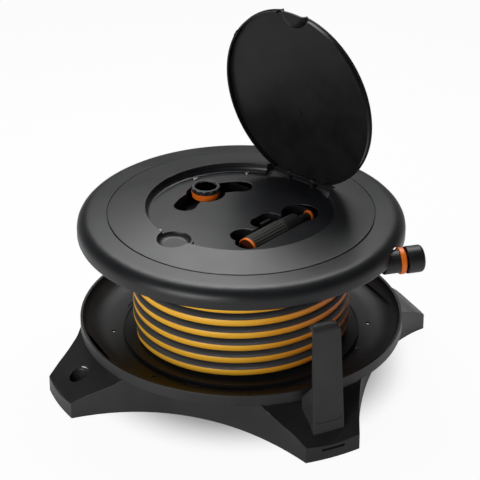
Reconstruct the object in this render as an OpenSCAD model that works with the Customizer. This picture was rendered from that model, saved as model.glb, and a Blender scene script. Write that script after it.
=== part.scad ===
// Garden hose reel that stands flat on the floor: a low four-legged tray carries a drum with a wide
// lidded disc on top. The origin is on the floor, on the axis that the drum turns about.
// +X points along the leg opposite the holed one, -Y along the leg with the upright post.

/* [Base] */
// Distance from the axis to the outer end of a leg
leg_reach = 247; // [244:1:252]
// Distance from the axis to a leg's corners, measured square to the hollow side between two legs
side_reach = 198; // [197:0.5:201]
// Distance from the axis to the middle of the hollow side
waist_r = 172; // [168:1:178]
// Height of the wall at the end of a leg
leg_end_h = 23; // [20:1:27]
// Height of a leg where it meets the tray
leg_root_h = 59; // [56:1:62]
// Height of the arch cut under each side wall
arch_h = 17; // [12:1:22]
// Wall thickness of the base moulding
base_wall = 3; // [2.4:0.1:3.6]
// Outer radius of the tray's lip
tray_r = 200; // [199:0.5:203]
// Height of the top of the tray's lip
tray_h = 70.6; // [69:0.2:74]
// Height of the tray's lip band
lip_h = 14.5; // [10:0.5:16]
// Height of the tray floor's upper face
tray_floor_z = 46.8; // [46:0.1:47]
// Radius where the tray floor turns up into its wall
tray_floor_r = 164; // [160:1:170]
// Bore of the hole in one leg, which takes a ground spike
spike_bore = 23; // [18:1:26]
// Distance of that hole from the outer end of its leg
spike_inset = 28; // [25:1:31]
// Length of the strap slot in the end of the post's leg
strap_slot_w = 30; // [20:1:40]
// Height of that slot's opening
strap_slot_h = 3; // [2:0.5:5]

/* [Post] */
// Width of the post at its foot
post_w = 41; // [36:1:46]
// Width of the post at its top
post_top_w = 35; // [30:1:38]
// Thickness of the post
post_t = 5; // [4:0.5:6]
// Distance from the outer end of the leg to the post's outer face at its foot
post_inset = 13; // [11:0.5:15]
// How far the post leans in from its foot to its top
post_lean = 9; // [7:0.5:12]
// Clearance between the post's top and the coupling above it
post_clear = 1; // [1:0.5:16]

/* [Hose] */
// Outer diameter of the hose
hose_d = 16.4; // [15:0.1:16.4]
// Rise of the hose in one turn
hose_pitch = 16.9; // [16.9:0.1:17.2]
// Radius of the outer layer's centre line
wind_r = 126; // [124:0.5:128]
// Height of the lowest turn's centre where it faces the viewer
first_turn_z = 62.5; // [62.3:0.1:63]
// Height of the parked hose end's centre line above the top turn's
park_rise = 3.2; // [2.2:0.1:3.2]
// Distance along the parked end from where it leaves the winding to the coupling's ring
park_len = 162.5; // [161:0.5:164]

/* [Drum] */
// Outer radius of the drum's core tube
core_r = 58; // [54:1:62]
// Wall thickness of the drum parts
drum_wall = 3; // [2.4:0.1:3.6]
// Radius of the drum's lower flange
lower_flange_r = 147; // [142:1:152]
// Radius of the drum's upper flange
upper_flange_r = 136; // [135.5:0.5:138]
// Radius of the fixed spindle
spindle_r = 18; // [16:0.5:20]
// Radial clearance between the spindle and the drum
spindle_play = 0.06; // [0.03:0.01:0.1]

/* [Disc] */
// Outer radius of the disc
disc_r = 200; // [198:0.5:202]
// Height of the disc's lower edge above the centre line of the hose's top turn
disc_gap = 2.7; // [2.2:0.1:5.2]
// Height from the disc's lower edge to where that edge begins to round over
shoulder_h = 25.5; // [24.5:0.5:26.5]
// Radius where the disc's edge begins to round over
shoulder_r = 182; // [180:0.5:184]
// Height of the upright part of the disc's edge
upright_h = 10.5; // [8.5:0.5:12.5]
// Radius of the groove between the rim and the cover
groove_r = 163; // [160:0.5:166]
// Width of that groove
groove_w = 1.2; // [0.8:0.1:1.6]
// Height from the disc's lower edge to the groove
groove_h = 27.2; // [26.5:0.1:27.5]
// Height from the disc's lower edge to the edge of the recess
disc_h = 35; // [34.5:0.1:35.5]
// Radius of the recess in the cover
recess_r = 116.5; // [116.2:0.1:116.8]
// Depth of the recess
recess_depth = 11; // [10.5:0.1:11.5]
// Depth of the pockets below the recess floor
pocket_depth = 22.7; // [22.5:0.1:23]
// Thickness of the cover and the recess floor
skin = 2.5; // [2:0.1:2.8]
// Angle of the finger dish round the axis
dish_angle = 200.8; // [196:0.2:206]
// Distance of the finger dish's centre from the axis
dish_centre_r = 115.5; // [114:0.5:117]
// Radius of the finger dish
dish_r = 21; // [20:0.5:22]
// Depth of the finger dish
dish_depth = 9; // [8:0.2:9.4]

/* [Lid] */
// Radius of the lid
lid_r = 115.5; // [115.2:0.1:115.6]
// Thickness of the lid's plate
lid_t = 2.2; // [1.8:0.1:2.4]
// Depth of the shut lid's top below the cover's edge
lid_sink = 0.1; // [0:0.1:0.4]
// Depth of the lip under the lid
lip_depth = 5.4; // [4:0.2:6]
// Direction of the lid's hinge from the axis
hinge_angle = 21.2; // [18:0.1:24]
// Distance of the hinge pin from the axis
hinge_r = 110; // [109:0.5:110.5]
// Depth of the hinge pin's centre below the edge of the recess
hinge_drop = 3.3; // [3.1:0.1:3.5]
// Reach of the lid's finger tab beyond its edge
tab_reach = 0.8; // [0.4:0.2:1.2]
// How far the lid stands open
lid_open = 85.6; // [0:0.2:90]
// Radius of the hinge pin
pin_r = 1.5; // [1.2:0.1:1.6]
// Radius of the lid's hinge barrel
barrel_r = 2.6; // [2.4:0.1:2.8]
// Radial clearance of the pin in the barrel
pin_play = 0.05; // [0.03:0.01:0.08]

/* [Nozzle] */
// Radius of the nozzle's grip sleeve
nozzle_r = 14; // [13:0.2:14.2]
// Height of the nozzle's centre line above the bottom of its pocket
nozzle_lift = 14.6; // [14.4:0.1:14.8]
// Length of the grip sleeve
sleeve_len = 60; // [56:1:62]
// Length of the whole nozzle
nozzle_len = 117; // [114:1:118]
// Direction that the nozzle points away from, along its length
nozzle_angle = 22.5; // [21:0.5:24]
// Clearance round the nozzle in its pocket
nozzle_clear = 1.6; // [1:0.1:1.8]

/* [Tap connector] */
// Outer radius of the threaded nut
nut_r = 18.4; // [17:0.2:18.6]
// Bore radius of the threaded nut
nut_bore_r = 14; // [13:0.2:14.4]
// Height of the nut
nut_h = 11; // [9:0.5:12]
// Height of the nut's upper face above the bottom of its pocket
nut_rise = 30.7; // [30:0.1:30.9]
// Distance of the tap connector from the axis
tap_r = 72; // [71:0.5:72.5]
// Angle of the tap connector round the axis
tap_angle = 101.5; // [98:0.5:105]

/* [Coupling] */
// Radius of the coupling's body on the hose end
coupling_r = 14.2; // [13.4:0.2:15]
// Length of the coupling's body
coupling_len = 23; // [20:1:26]
// Radius of the coupling's coloured ring
coupling_ring_r = 16.2; // [15.8:0.1:16.4]
// Radius of the coupling's sliding collar
collar_r = 16.5; // [15:0.1:16.5]
// Length of the sliding collar
collar_len = 20.6; // [16:0.2:21]
// Travel of the sliding collar
collar_travel = 2; // [1.5:0.5:3]

/* [Hidden] */
$fn = 96;
eps = 0.01;
over = 20;

// Heights that follow from the winding
turns = 7;
wind_top = first_turn_z + turns * hose_pitch;
park_z = wind_top + park_rise;
rim_low_z = wind_top + disc_gap;
round_z = rim_low_z + upright_h;
shoulder_z = rim_low_z + shoulder_h;
groove_z = rim_low_z + groove_h;
cover_z = rim_low_z + disc_h;
recess_floor_z = cover_z - recess_depth;
pocket_z = recess_floor_z - pocket_depth;
hinge_z = cover_z - hinge_drop;
nozzle_z = pocket_z + nozzle_lift;
nut_top_z = pocket_z + nut_rise;

// Base
spike_r = leg_reach - spike_inset;
floor_t = base_wall;
waist = leg_root_h;
arch_half = sqrt(pow(leg_reach, 2) - pow(side_reach, 2));
side_sag = side_reach - waist_r;
side_curve_r = (pow(arch_half, 2) + pow(side_sag, 2)) / (2 * side_sag);
arch_r = (pow(arch_half, 2) + pow(arch_h, 2)) / (2 * arch_h);
tray_lip_t = 3.4;
hub_r = 36;
hub_z = 12;
rib_t = 2.4;
rib_low_z = 14;
spike_wall = 2.6;
spike_bevel = 2.2;
strap_slot_z = 12;
leg_slope = (leg_root_h - leg_end_h) / (leg_reach - 181);
function leg_top_z(r) = leg_end_h + (leg_reach - r) * leg_slope;

// Drum and hose
flange_play = 0.6;
lower_flange_z = tray_floor_z + flange_play;
lower_flange_top = lower_flange_z + drum_wall;
hose_r = hose_d / 2;
winding_start = -183;
leave_angle = -100.8;
front_angle = -116;
tuck_angle = 42;
tuck_depth = hose_d + 0.6;
function turn_z(a) = first_turn_z + hose_pitch * (a - front_angle) / 360;
leave_z = turn_z(leave_angle + 360 * turns);
wind_gap = 0.5;
rings_per_turn = 24;
chord_sag = wind_r * (1 - cos(180 / rings_per_turn));
hose_core_r = wind_r - chord_sag - hose_r - wind_gap;
upper_step_z = leave_z + hose_r + 1.2;
upper_low_z = pocket_z - skin - drum_wall - 0.3;
hose_core_top = upper_low_z - 0.4;
step_r = hose_core_r - 2;
bore_r = spindle_r + spindle_play;
sleeve_wall = 4;
spindle_drop = 24;
spindle_top = upper_low_z - spindle_drop;
spindle_bore = 8;
spindle_flange_r = 32;
spindle_flange_t = 4;

// Disc
rim_wall = 4;
ledge_w = 7;
ledge_t = 2.5;
wall_t = 2.5;
fillet_r = 5;
bay_half = 52;
bay_r = 116.3;
dish_floor_z = cover_z - dish_depth;
dish_fillet = 8.4;
dish_x = dish_centre_r * cos(dish_angle);
dish_y = dish_centre_r * sin(dish_angle);
cup_clear = 0.7;
cup_wall = 2.2;
cup_drop = 3.3;
cup_rim_z = cover_z - cup_drop;
pocket_wall = 2;
tub_z = pocket_z - pocket_wall;
floor_low = recess_floor_z - skin;
toe_r = recess_r - 4.4;
slot_r = 71;
slot_half = 13.6;
end_swell = 0.3;
well_r = 24;
well_shift = 4;
slot_from = 64;
slot_to = 138.5;
screw_r = 109;
screw_angles = [60, 96, 180, 262, 302];

// Lid
plate_z = cover_z - lid_sink - lid_t;
lid_flat = 4.8;
lug_in = 17;
lug_out = 21.8;
lug_gap = 0.6;
lid_lip_r = recess_r - 2.1;
lid_lip_t = 2.2;

// Nozzle, its start is the spray end
nozzle_x = -29.5;
nozzle_y = -74.6;
rear_ring_at = 112.6;

// Parked hose end
park_dir = leave_angle + 90;
notch_clear = 0.8;
ring_len = 7;
collar_gap = collar_travel + 0.4;
body_from = park_len - ring_len / 2 - coupling_len;

module place_nozzle(t = 0) {
    translate([nozzle_x, nozzle_y, nozzle_z]) rotate([0, 0, nozzle_angle]) rotate([0, 90, 0])
        translate([0, 0, t]) children();
}

// Frame on the parked hose end: z runs outwards along it, t from where it leaves the winding
module place_park(t) {
    translate([wind_r * cos(leave_angle), wind_r * sin(leave_angle), park_z])
        rotate([0, 0, park_dir]) rotate([0, 90, 0]) translate([0, 0, t]) children();
}

module place_tap(z) {
    translate([tap_r * cos(tap_angle), tap_r * sin(tap_angle), z]) children();
}

// Frame on the hinge pin: x outwards, y along the pin
module place_hinge() {
    translate([hinge_r * cos(hinge_angle), hinge_r * sin(hinge_angle), hinge_z])
        rotate([0, 0, hinge_angle]) children();
}

module ring(r_out, r_in, h, z = 0) {
    translate([0, 0, z]) difference() {
        cylinder(r = r_out, h = h);
        translate([0, 0, -1]) cylinder(r = r_in, h = h + 2);
    }
}

module base_plan(inset) {
    difference() {
        circle(r = leg_reach - inset, $fn = 180);
        for (a = [45:90:315]) rotate(a) translate([waist_r + side_curve_r, 0])
            circle(r = side_curve_r + inset, $fn = 180);
    }
}

// Side view of two opposite legs: their tops slope from the tray down to the leg ends
module leg_profile(drop) {
    end = leg_reach + 1;
    polygon([[-end, -1], [end, -1], [end, leg_end_h - 6 - drop], [end - 2.6, leg_end_h - 2.6 - drop],
             [end - 7, leg_end_h + 0.6 - drop],
             [228, leg_top_z(228) - drop - 1], [211, leg_top_z(211) - drop - 1.2],
             [197, leg_top_z(197) - drop], [181, waist + 6 - drop], [-181, waist + 6 - drop],
             [-197, leg_top_z(197) - drop], [-211, leg_top_z(211) - drop - 1.2],
             [-228, leg_top_z(228) - drop - 1], [7 - end, leg_end_h + 0.6 - drop],
             [2.6 - end, leg_end_h - 2.6 - drop], [-end, leg_end_h - 6 - drop]]);
}

module base_block(inset, drop) {
    intersection() {
        linear_extrude(tray_h) base_plan(inset);
        rotate([90, 0, 0]) linear_extrude(2 * leg_reach + 4, center = true) leg_profile(drop);
        rotate([90, 0, 90]) linear_extrude(2 * leg_reach + 4, center = true) leg_profile(drop);
    }
}

// Inside of the tray, where the drum stands
module tray_hollow() {
    rim_in = tray_r - tray_lip_t;
    rotate_extrude($fn = 180) polygon(concat(
        [[0, tray_floor_z], [tray_floor_r, tray_floor_z]],
        [for (a = [15:15:75]) [tray_floor_r + (rim_in - tray_floor_r) * sin(a),
                               tray_floor_z + (tray_h - 2 - tray_floor_z) * (1 - cos(a))]],
        [[rim_in, tray_h - 2], [rim_in, tray_h + 20], [0, tray_h + 20]]));
}

// Outer face of the bowl under the tray
module tray_bowl() {
    rim_in = tray_r - tray_lip_t;
    low = tray_floor_z - floor_t;
    rotate_extrude($fn = 180) polygon(concat(
        [[0, low], [tray_floor_r + 1, low]],
        [for (a = [15:15:75]) [tray_floor_r + 1 + (rim_in + 0.6 - tray_floor_r) * sin(a),
                               low + (tray_h - 2 - tray_floor_z) * (1 - cos(a))]],
        [[rim_in + 1, tray_h - 3], [rim_in + 1, tray_h - 1], [0, tray_h - 1]]));
}

module base_ribs() {
    for (a = [0:45:315]) rotate([0, 0, a]) translate([hub_r - 1, -rib_t / 2, rib_low_z])
        cube([waist_r - base_wall / 2 - hub_r + 1, rib_t, tray_floor_z - rib_low_z - 1]);
}

module base_tray() {
    color("#2b2b2d") difference() {
        union() {
            difference() {
                base_block(0, 0);
                translate([0, 0, -eps]) base_block(base_wall, base_wall);
            }
            translate([0, 0, tray_h - lip_h]) ring(tray_r, tray_r - tray_lip_t, lip_h);
            tray_bowl();
            base_ribs();
            translate([0, 0, hub_z]) cylinder(r = hub_r, h = tray_floor_z - hub_z - 1);
            intersection() {
                translate([-spike_r, 0, 0]) cylinder(d = spike_bore + 2 * spike_wall, h = tray_h);
                base_block(0.5, 0.5);
            }
            intersection() {
                translate([-post_w / 2 - 5, -post_r - 2, 0]) cube([post_w + 10, 16, tray_h]);
                base_block(0.5, 0.5);
            }
        }
        tray_hollow();
        for (a = [45:90:315]) rotate([0, 0, a]) translate([150, 0, arch_h - arch_r])
            rotate([0, 90, 0]) cylinder(r = arch_r, h = 150, $fn = 180);
        translate([-spike_r, 0, -1]) cylinder(d = spike_bore, h = tray_h);
        translate([-spike_r, 0, leg_top_z(spike_r) - spike_bevel])
            cylinder(r1 = spike_bore / 2, r2 = spike_bore / 2 + 2 * spike_bevel, h = 2 * spike_bevel);
        translate([-strap_slot_w / 2, -leg_reach - 5, strap_slot_z])
            cube([strap_slot_w, 12, strap_slot_h]);
        post_tongue(0.2);
        translate([0, 0, -1]) cylinder(r = spindle_flange_r + 0.3, h = spindle_seat_z + 1);
        translate([0, 0, -1]) cylinder(r = spindle_r + 0.3, h = tray_h);
        for (a = [45:90:315]) rotate([0, 0, a]) translate([spindle_screw_r, 0, spindle_seat_z - 1])
            cylinder(d = 3.2, h = 9);
        translate([0, 0, pipe_z]) rotate([-90, 0, 0]) cylinder(r = pipe_r + 0.4, h = leg_reach - 10);
        translate([0, leg_reach - 10, pipe_z]) rotate([-90, 0, 0])
            cylinder(r = nipple_sleeve_r + 0.02, h = 20);
        for (a = [22.5:45:337.5]) rotate([0, 0, a]) translate([tray_floor_r - 5, 0, 0])
            cylinder(d = 5, h = tray_h, $fn = 32);
        for (a = [-49, 41, 131, 221]) rotate([0, 0, a])
            translate([lower_flange_r + 1, -9, tray_floor_z - 1.6]) cube([5, 18, 4]);
    }
}

// Post
post_r = leg_reach - post_inset;
post_top_r = post_r - post_lean;
post_h = park_z - collar_r - post_clear;
post_low_z = 12;
post_slope = (post_r - post_top_r) / (post_h - 12 - leg_end_h);
function post_face(z) = post_r - (z - leg_end_h - 6) * post_slope;
nose_r = 9;

// Tongue of the post that plugs into the leg
module post_tongue(play) {
    w = post_w - 9;
    translate([-w / 2 - play, -post_r + 0.5 - play, post_low_z])
        cube([w + 2 * play, post_t - 1 + 2 * play, 30]);
}

module post_outline() {
    top = post_h;
    polygon([[-post_w / 2, leg_end_h + 2], [post_w / 2, leg_end_h + 2], [post_top_w / 2, top - 9],
             [post_top_w / 2 - 2.6, top - 2.6], [post_top_w / 2 - 9, top],
             [-post_top_w / 2 + 2, top], [-post_top_w / 2, top - 2]]);
}

// Side view: a leaning strip whose top bends inwards
module post_section() {
    z0 = leg_end_h + 2;
    z1 = post_h - nose_r;
    polygon(concat(
        [[-post_face(z0), z0], [-post_face(z0) + post_t + 3, z0], [-post_face(z0 + 24) + post_t, z0 + 24],
         [-post_face(z1) + post_t, z1]],
        [for (a = [0:30:60]) [-post_face(z1) + nose_r - (nose_r - post_t) * cos(a),
                              z1 + (nose_r - post_t) * sin(a)]],
        [[-post_face(z1) + nose_r + 3, post_h - post_t], [-post_face(z1) + nose_r + 3, post_h]],
        [for (a = [90:-15:0]) [-post_face(z1) + nose_r - nose_r * cos(a), z1 + nose_r * sin(a)]]));
}

module guide_post() {
    gusset_t = 3;
    color("#353537") union() {
        difference() {
            intersection() {
                rotate([90, 0, 90]) linear_extrude(post_w + 2, center = true) post_section();
                translate([0, -150, 0]) rotate([90, 0, 0]) linear_extrude(120) post_outline();
            }
            base_block(-0.02, 0);
        }
        difference() {
            for (x = [-post_w / 2 + 1.2, post_w / 2 - 1.2 - gusset_t]) translate([x, 0, 0])
                rotate([90, 0, 90]) linear_extrude(gusset_t) polygon([
                    [-post_face(40) + 1, 26], [-tray_r - 1, 40], [-tray_r - 1, 62],
                    [-post_face(80) + 2, 92]]);
            base_block(-0.02, 0);
        }
        post_tongue(0);
    }
}

// Spindle and water inlet
spindle_seat_z = 40;
spindle_screw_r = 26;
pipe_z = 11.5;
pipe_r = 7.5;
pipe_wall = 1.6;
nipple_r = 8.6;
nipple_sleeve_r = pipe_r + 2;

module spindle() {
    color("#3a3a3c") difference() {
        union() {
            translate([0, 0, spindle_seat_z - spindle_flange_t])
                cylinder(r = spindle_flange_r, h = spindle_flange_t);
            cylinder(r = spindle_r, h = spindle_top);
            translate([0, 0, spindle_top - 1]) cylinder(r = spindle_r - 4, h = 15);
        }
        translate([0, 0, pipe_z]) cylinder(r = spindle_bore, h = spindle_top + 10);
        translate([0, 0, pipe_z]) rotate([-90, 0, 0]) cylinder(r = pipe_r, h = 60);
        for (a = [45:90:315]) rotate([0, 0, a]) translate([spindle_screw_r, 0, 0])
            cylinder(d = 4.2, h = spindle_seat_z + 1);
        ring_groove(spindle_r - 4, spindle_top + 4);
        ring_groove(spindle_r - 4, spindle_top + 9);
    }
}

seal_t = 2.4;
module ring_groove(r, z) {
    translate([0, 0, z - seal_t / 2]) difference() {
        cylinder(r = r + 1, h = seal_t);
        translate([0, 0, -1]) cylinder(r = r - seal_t + 0.5, h = seal_t + 2);
    }
}

module spindle_screws() {
    color("#9a9a9c") for (a = [45:90:315]) rotate([0, 0, a]) translate([spindle_screw_r, 0, 0]) {
        translate([0, 0, spindle_seat_z - spindle_flange_t - 2.4]) cylinder(d = 7.6, h = 2.4);
        translate([0, 0, spindle_seat_z - spindle_flange_t - eps])
            cylinder(d = 3.2, h = spindle_flange_t + 6);
    }
}

module inlet_pipe() {
    start = spindle_bore;
    color("#444446") difference() {
        translate([0, start, pipe_z]) rotate([-90, 0, 0]) cylinder(r = pipe_r, h = leg_reach - start - 12);
        translate([0, start - 1, pipe_z]) rotate([-90, 0, 0])
            cylinder(r = pipe_r - pipe_wall, h = leg_reach);
        translate([0, 0, pipe_z - 20]) cylinder(r = spindle_bore, h = 40);
    }
}

// Male half of a click coupling at the back of the base
module inlet_nipple() {
    y0 = leg_reach - 12;
    color("#2a2a2c") translate([0, y0, pipe_z]) rotate([-90, 0, 0]) difference() {
        union() {
            cylinder(r = nipple_sleeve_r, h = 11.8);
            translate([0, 0, 11.8]) cylinder(r = nipple_r, h = 7.2);
            translate([0, 0, 19]) cylinder(r = nipple_r - 1.8, h = 4);
            translate([0, 0, 23]) cylinder(r = nipple_r, h = 5);
            translate([0, 0, 28]) cylinder(r1 = nipple_r - 1.4, r2 = nipple_r - 2, h = 7);
        }
        translate([0, 0, -1]) cylinder(r = pipe_r - pipe_wall - 1.4, h = 40);
        translate([0, 0, 30]) ring_groove(nipple_r - 1.5, 0);
    }
}

module inlet_seal() {
    color("#151515") translate([0, leg_reach - 12, pipe_z]) rotate([-90, 0, 0])
        translate([0, 0, 30]) rotate_extrude() translate([nipple_r - 2.4, 0]) circle(d = 1.9, $fn = 32);
}

module thrust_washer() {
    color("#c9c4b4") ring(spindle_r + 8, spindle_r + 0.1, flange_play, tray_floor_z);
}

module retaining_nut() {
    color("#7d7d80") difference() {
        translate([0, 0, spindle_top]) cylinder(r = spindle_r + 3, h = 2.2);
        translate([0, 0, spindle_top - 1]) cylinder(r = spindle_r - 4, h = 5);
    }
}

// Drum
module drum_core() {
    top = upper_low_z;
    color("#2f2f31") union() {
        ring(core_r, core_r - drum_wall, top - lower_flange_top, lower_flange_top);
        ring(bore_r + sleeve_wall, bore_r, spindle_top - 0.4 - lower_flange_z, lower_flange_z);
        ring(core_r, bore_r + sleeve_wall - 0.5, drum_wall, lower_flange_top);
        ring(core_r - 1, bore_r + sleeve_wall - 0.5, drum_wall, spindle_top - 14);
        for (a = [0:60:300]) rotate([0, 0, a])
            translate([bore_r + sleeve_wall - 0.5, -1.2, lower_flange_top + 1])
            cube([core_r - bore_r - sleeve_wall - 1, 2.4, 24]);
    }
}

module lower_flange() {
    color("#262628") union() {
        ring(lower_flange_r, bore_r + sleeve_wall + 0.1, drum_wall, lower_flange_z);
        ring(lower_flange_r, lower_flange_r - 2.4, 1.6, lower_flange_top - eps);
    }
}

// Flat plate over the inner turns
module upper_flange() {
    color("#2f2f31") difference() {
        ring(step_r - 2.42, bore_r + 14, drum_wall, upper_low_z);
        for (a = screw_angles) rotate([0, 0, a]) translate([screw_r, 0, upper_low_z - 1])
            cylinder(d = 2.6, h = drum_wall + 2);
    }
}

// Outer part of the upper flange, one step higher than the plate
module flange_step() {
    z0 = upper_low_z;
    z1 = upper_step_z;
    t = drum_wall;
    color("#2f2f31") rotate_extrude($fn = 180) polygon([
        [step_r - 2.4, z0], [step_r, z0], [step_r + 3, z1], [upper_flange_r, z1],
        [upper_flange_r, z1 + t], [step_r + 0.6, z1 + t], [step_r - 2.4, z0 + t]]);
}

// Disc
module rim_profile() {
    t = skin;
    depth = shoulder_z - round_z;
    width = disc_r - shoulder_r;
    polygon(concat(
        [[groove_r + groove_w / 2, groove_z], [shoulder_r, shoulder_z]],
        [for (a = [15:15:75]) [shoulder_r + width * sin(a), round_z + depth * cos(a)]],
        [[disc_r, round_z], [disc_r, rim_low_z + 3], [disc_r - 1, rim_low_z + 0.8], [disc_r - 2.2, rim_low_z],
         [disc_r - rim_wall, rim_low_z], [disc_r - rim_wall, round_z]],
        [for (a = [75:-15:15]) [shoulder_r + (width - rim_wall) * sin(a), round_z + (depth - t) * cos(a)]],
        [[shoulder_r, shoulder_z - t], [groove_r - ledge_w + 1, groove_z - skin - ledge_t + 0.6],
         [groove_r - ledge_w, groove_z - skin - ledge_t + 0.6], [groove_r - ledge_w, groove_z - skin + 0.6],
         [groove_r + groove_w / 2, groove_z - skin + 0.2]]));
}

// Space that the parked coupling needs where it crosses the rim's skirt
module park_notch() {
    r = coupling_ring_r + notch_clear;
    place_park(body_from - 6) {
        cylinder(r = r, h = coupling_len + ring_len + collar_gap + 12);
        translate([0, -r, 0]) cube([r + 2, 2 * r, coupling_len + ring_len + collar_gap + 12]);
    }
}

module rim_ring() {
    rib_low = upper_step_z + drum_wall;
    color("#303032") difference() {
        union() {
            rotate_extrude($fn = 180) rim_profile();
            for (a = [15:30:345]) rotate([0, 0, a]) translate([upper_flange_r - 3, -1.2, rib_low])
                cube([groove_r + 6 - upper_flange_r, 2.4, groove_z - skin - ledge_t + 1 - rib_low]);
        }
        park_notch();
    }
}

// Straight top of the cover as a height over its radius
function cover_top(r) = cover_z + (groove_z + 0.2 - cover_z) * (r - recess_r) / (groove_r - recess_r);

module hinge_bay(grow, low, high, out = 0) {
    place_hinge() translate([-30, -bay_half - grow, low - hinge_z])
        cube([30 + bay_r - hinge_r + grow + out, 2 * (bay_half + grow), high - low]);
}

// Steep-walled bowl of the finger dish, grown by the given amount
module dish_bowl(grow) {
    f = dish_fillet + max(grow, -dish_fillet + 1);
    z0 = dish_floor_z - grow;
    r0 = dish_r - dish_fillet;
    translate([dish_x, dish_y, 0]) rotate_extrude() polygon(concat([[0, z0], [r0, z0]],
        [for (a = [15:15:75]) [r0 + f * sin(a), z0 + f - f * cos(a)]],
        [[r0 + f, z0 + f], [r0 + f + 0.6, cover_z + over], [0, cover_z + over]]));
}

module top_cover() {
    r_end = groove_r - groove_w / 2;
    color("#39393b") difference() {
        rotate_extrude($fn = 180) polygon([
            [recess_r, cover_z], [r_end, cover_top(r_end)], [r_end, cover_top(r_end) - skin],
            [recess_r, cover_z - skin]]);
        hinge_bay(0, recess_floor_z, cover_z + over);
        dish_bowl(0);
    }
}

// Everything above the cover's underside
module over_cover() {
    r_end = disc_r + over;
    rotate_extrude($fn = 180) polygon([
        [0, cover_z + over], [0, cover_top(0) - skin], [r_end, cover_top(r_end) - skin],
        [r_end, cover_z + over]]);
}

// Wall under the cover round the recess, with the ledge for the floor and the bay for the lid's hinge
module cover_wall() {
    low = recess_floor_z - skin;
    color("#39393b") difference() {
        union() {
            ring(recess_r + wall_t, recess_r, cover_z - low + wall_t, low - wall_t, $fn = 180);
            ring(recess_r + 0.5, screw_r - 4.5, wall_t, low - wall_t, $fn = 180);
            difference() {
                hinge_bay(wall_t, low, cover_z);
                translate([0, 0, rim_low_z]) cylinder(r = recess_r, h = disc_h + over, $fn = 180);
            }
        }
        over_cover();
        hinge_bay(0, recess_floor_z, cover_z + over);
        dish_bowl(skin + 0.02);
        for (a = screw_angles) rotate([0, 0, a]) translate([screw_r, 0, recess_floor_z - 9])
            cylinder(d = 2.6, h = 9);
    }
}

// Part of the finger dish that lies under the cover
module dish_shell() {
    color("#39393b") difference() {
        intersection() {
            dish_bowl(skin);
            translate([0, 0, rim_low_z]) ring(dish_centre_r + dish_r + over, recess_r, disc_h, $fn = 180);
        }
        over_cover();
        dish_bowl(0);
    }
}

// Plan shapes of the pockets, each grown by the wall where it makes the tub
module tap_slot(grow) {
    w = slot_half + grow;
    rotate(slot_from) difference() {
        intersection() {
            circle(r = slot_r + w, $fn = 180);
            polygon([[0, 0], [150, 0], for (a = [20:20:60]) [150 * cos(a), 150 * sin(a)],
                     [150 * cos(slot_to - slot_from), 150 * sin(slot_to - slot_from)]]);
        }
        circle(r = slot_r - w, $fn = 180);
    }
    for (a = [slot_from, slot_to]) translate([slot_r * cos(a), slot_r * sin(a)]) circle(r = w + end_swell);
    translate([tap_r * cos(tap_angle) - 0.44 * well_shift, tap_r * sin(tap_angle) - 0.9 * well_shift])
        circle(r = well_r + grow);
}

module nozzle_slot(grow) {
    w = nozzle_r + nozzle_clear + grow;
    translate([nozzle_x, nozzle_y]) rotate(nozzle_angle) {
        translate([4, -w]) square([98, 2 * w]);
        translate([4, 0]) circle(r = w + end_swell);
        translate([14, 16]) circle(r = 16.5 + grow);
        translate([103, 4]) circle(r = 22.5 + grow);
        for (t = [53, 68]) translate([t, 22.5]) circle(r = 13 + grow + end_swell);
        translate([53, 9.5 - grow]) square([15, 26 + 2 * grow]);
    }
}

// Flat floor of the recess, open over both pockets
module recess_floor() {
    color("#38383a") difference() {
        translate([0, 0, floor_low]) cylinder(r = recess_r - 0.1, h = skin, $fn = 180);
        translate([0, 0, floor_low - 1]) linear_extrude(skin + 2) tap_slot(0);
        translate([0, 0, floor_low - 1]) linear_extrude(skin + 2) nozzle_slot(0);
        screw_ways();
    }
}

// Holes for the screws, with a flat seat round each head
module screw_ways() {
    for (a = screw_angles) rotate([0, 0, a]) translate([screw_r, 0, recess_floor_z - 10]) {
        cylinder(d = 3.4, h = over);
        translate([0, 0, 9]) cylinder(d = 8, h = over);
    }
}

// Rounded edge that stands on the recess floor, and the two lugs of the lid's hinge
module recess_wall() {
    low = recess_floor_z;
    color("#38383a") difference() {
        rotate_extrude($fn = 180) polygon(concat(
            [[toe_r, low], [recess_r - 0.1, low], [recess_r - 0.1, low + fillet_r]],
            [for (a = [0:15:60]) [recess_r - 0.5 - fillet_r * (1 - cos(a)), low + fillet_r * (1 - sin(a))]],
            [[toe_r, low + 0.1]]));
        hinge_bay(-0.3, low - 1, cover_z + over, over);
        translate([dish_x, dish_y, low - 1]) cylinder(r = dish_r + cup_wall + 0.02, h = over);
        screw_ways();
    }
    color("#38383a") difference() {
        for (s = [-1, 1]) place_hinge() hinge_lug(s);
        place_hinge() rotate([90, 0, 0]) cylinder(r = pin_r + 0.01, h = 4 * lug_out, center = true);
    }
}

// Part of the finger dish that stands inside the recess
module dish_cup() {
    color("#38383a") difference() {
        intersection() {
            translate([dish_x, dish_y, recess_floor_z])
                cylinder(r = dish_r + cup_wall, h = cup_rim_z - recess_floor_z);
            cylinder(r = recess_r - 0.1, h = cover_z, $fn = 180);
        }
        dish_bowl(0);
    }
}

// Curved tub under the floor for the tap connector
module tap_tub() {
    color("#38383a") union() {
        difference() {
            translate([0, 0, tub_z]) linear_extrude(floor_low - tub_z) tap_slot(pocket_wall);
            translate([0, 0, pocket_z]) linear_extrude(over * 2) tap_slot(0);
        }
        tap_peg();
    }
}

// Tub under the floor for the nozzle
module nozzle_tub() {
    color("#38383a") difference() {
        translate([0, 0, tub_z]) linear_extrude(floor_low - tub_z) nozzle_slot(pocket_wall);
        translate([0, 0, pocket_z]) linear_extrude(over * 2) nozzle_slot(0);
    }
}

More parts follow.
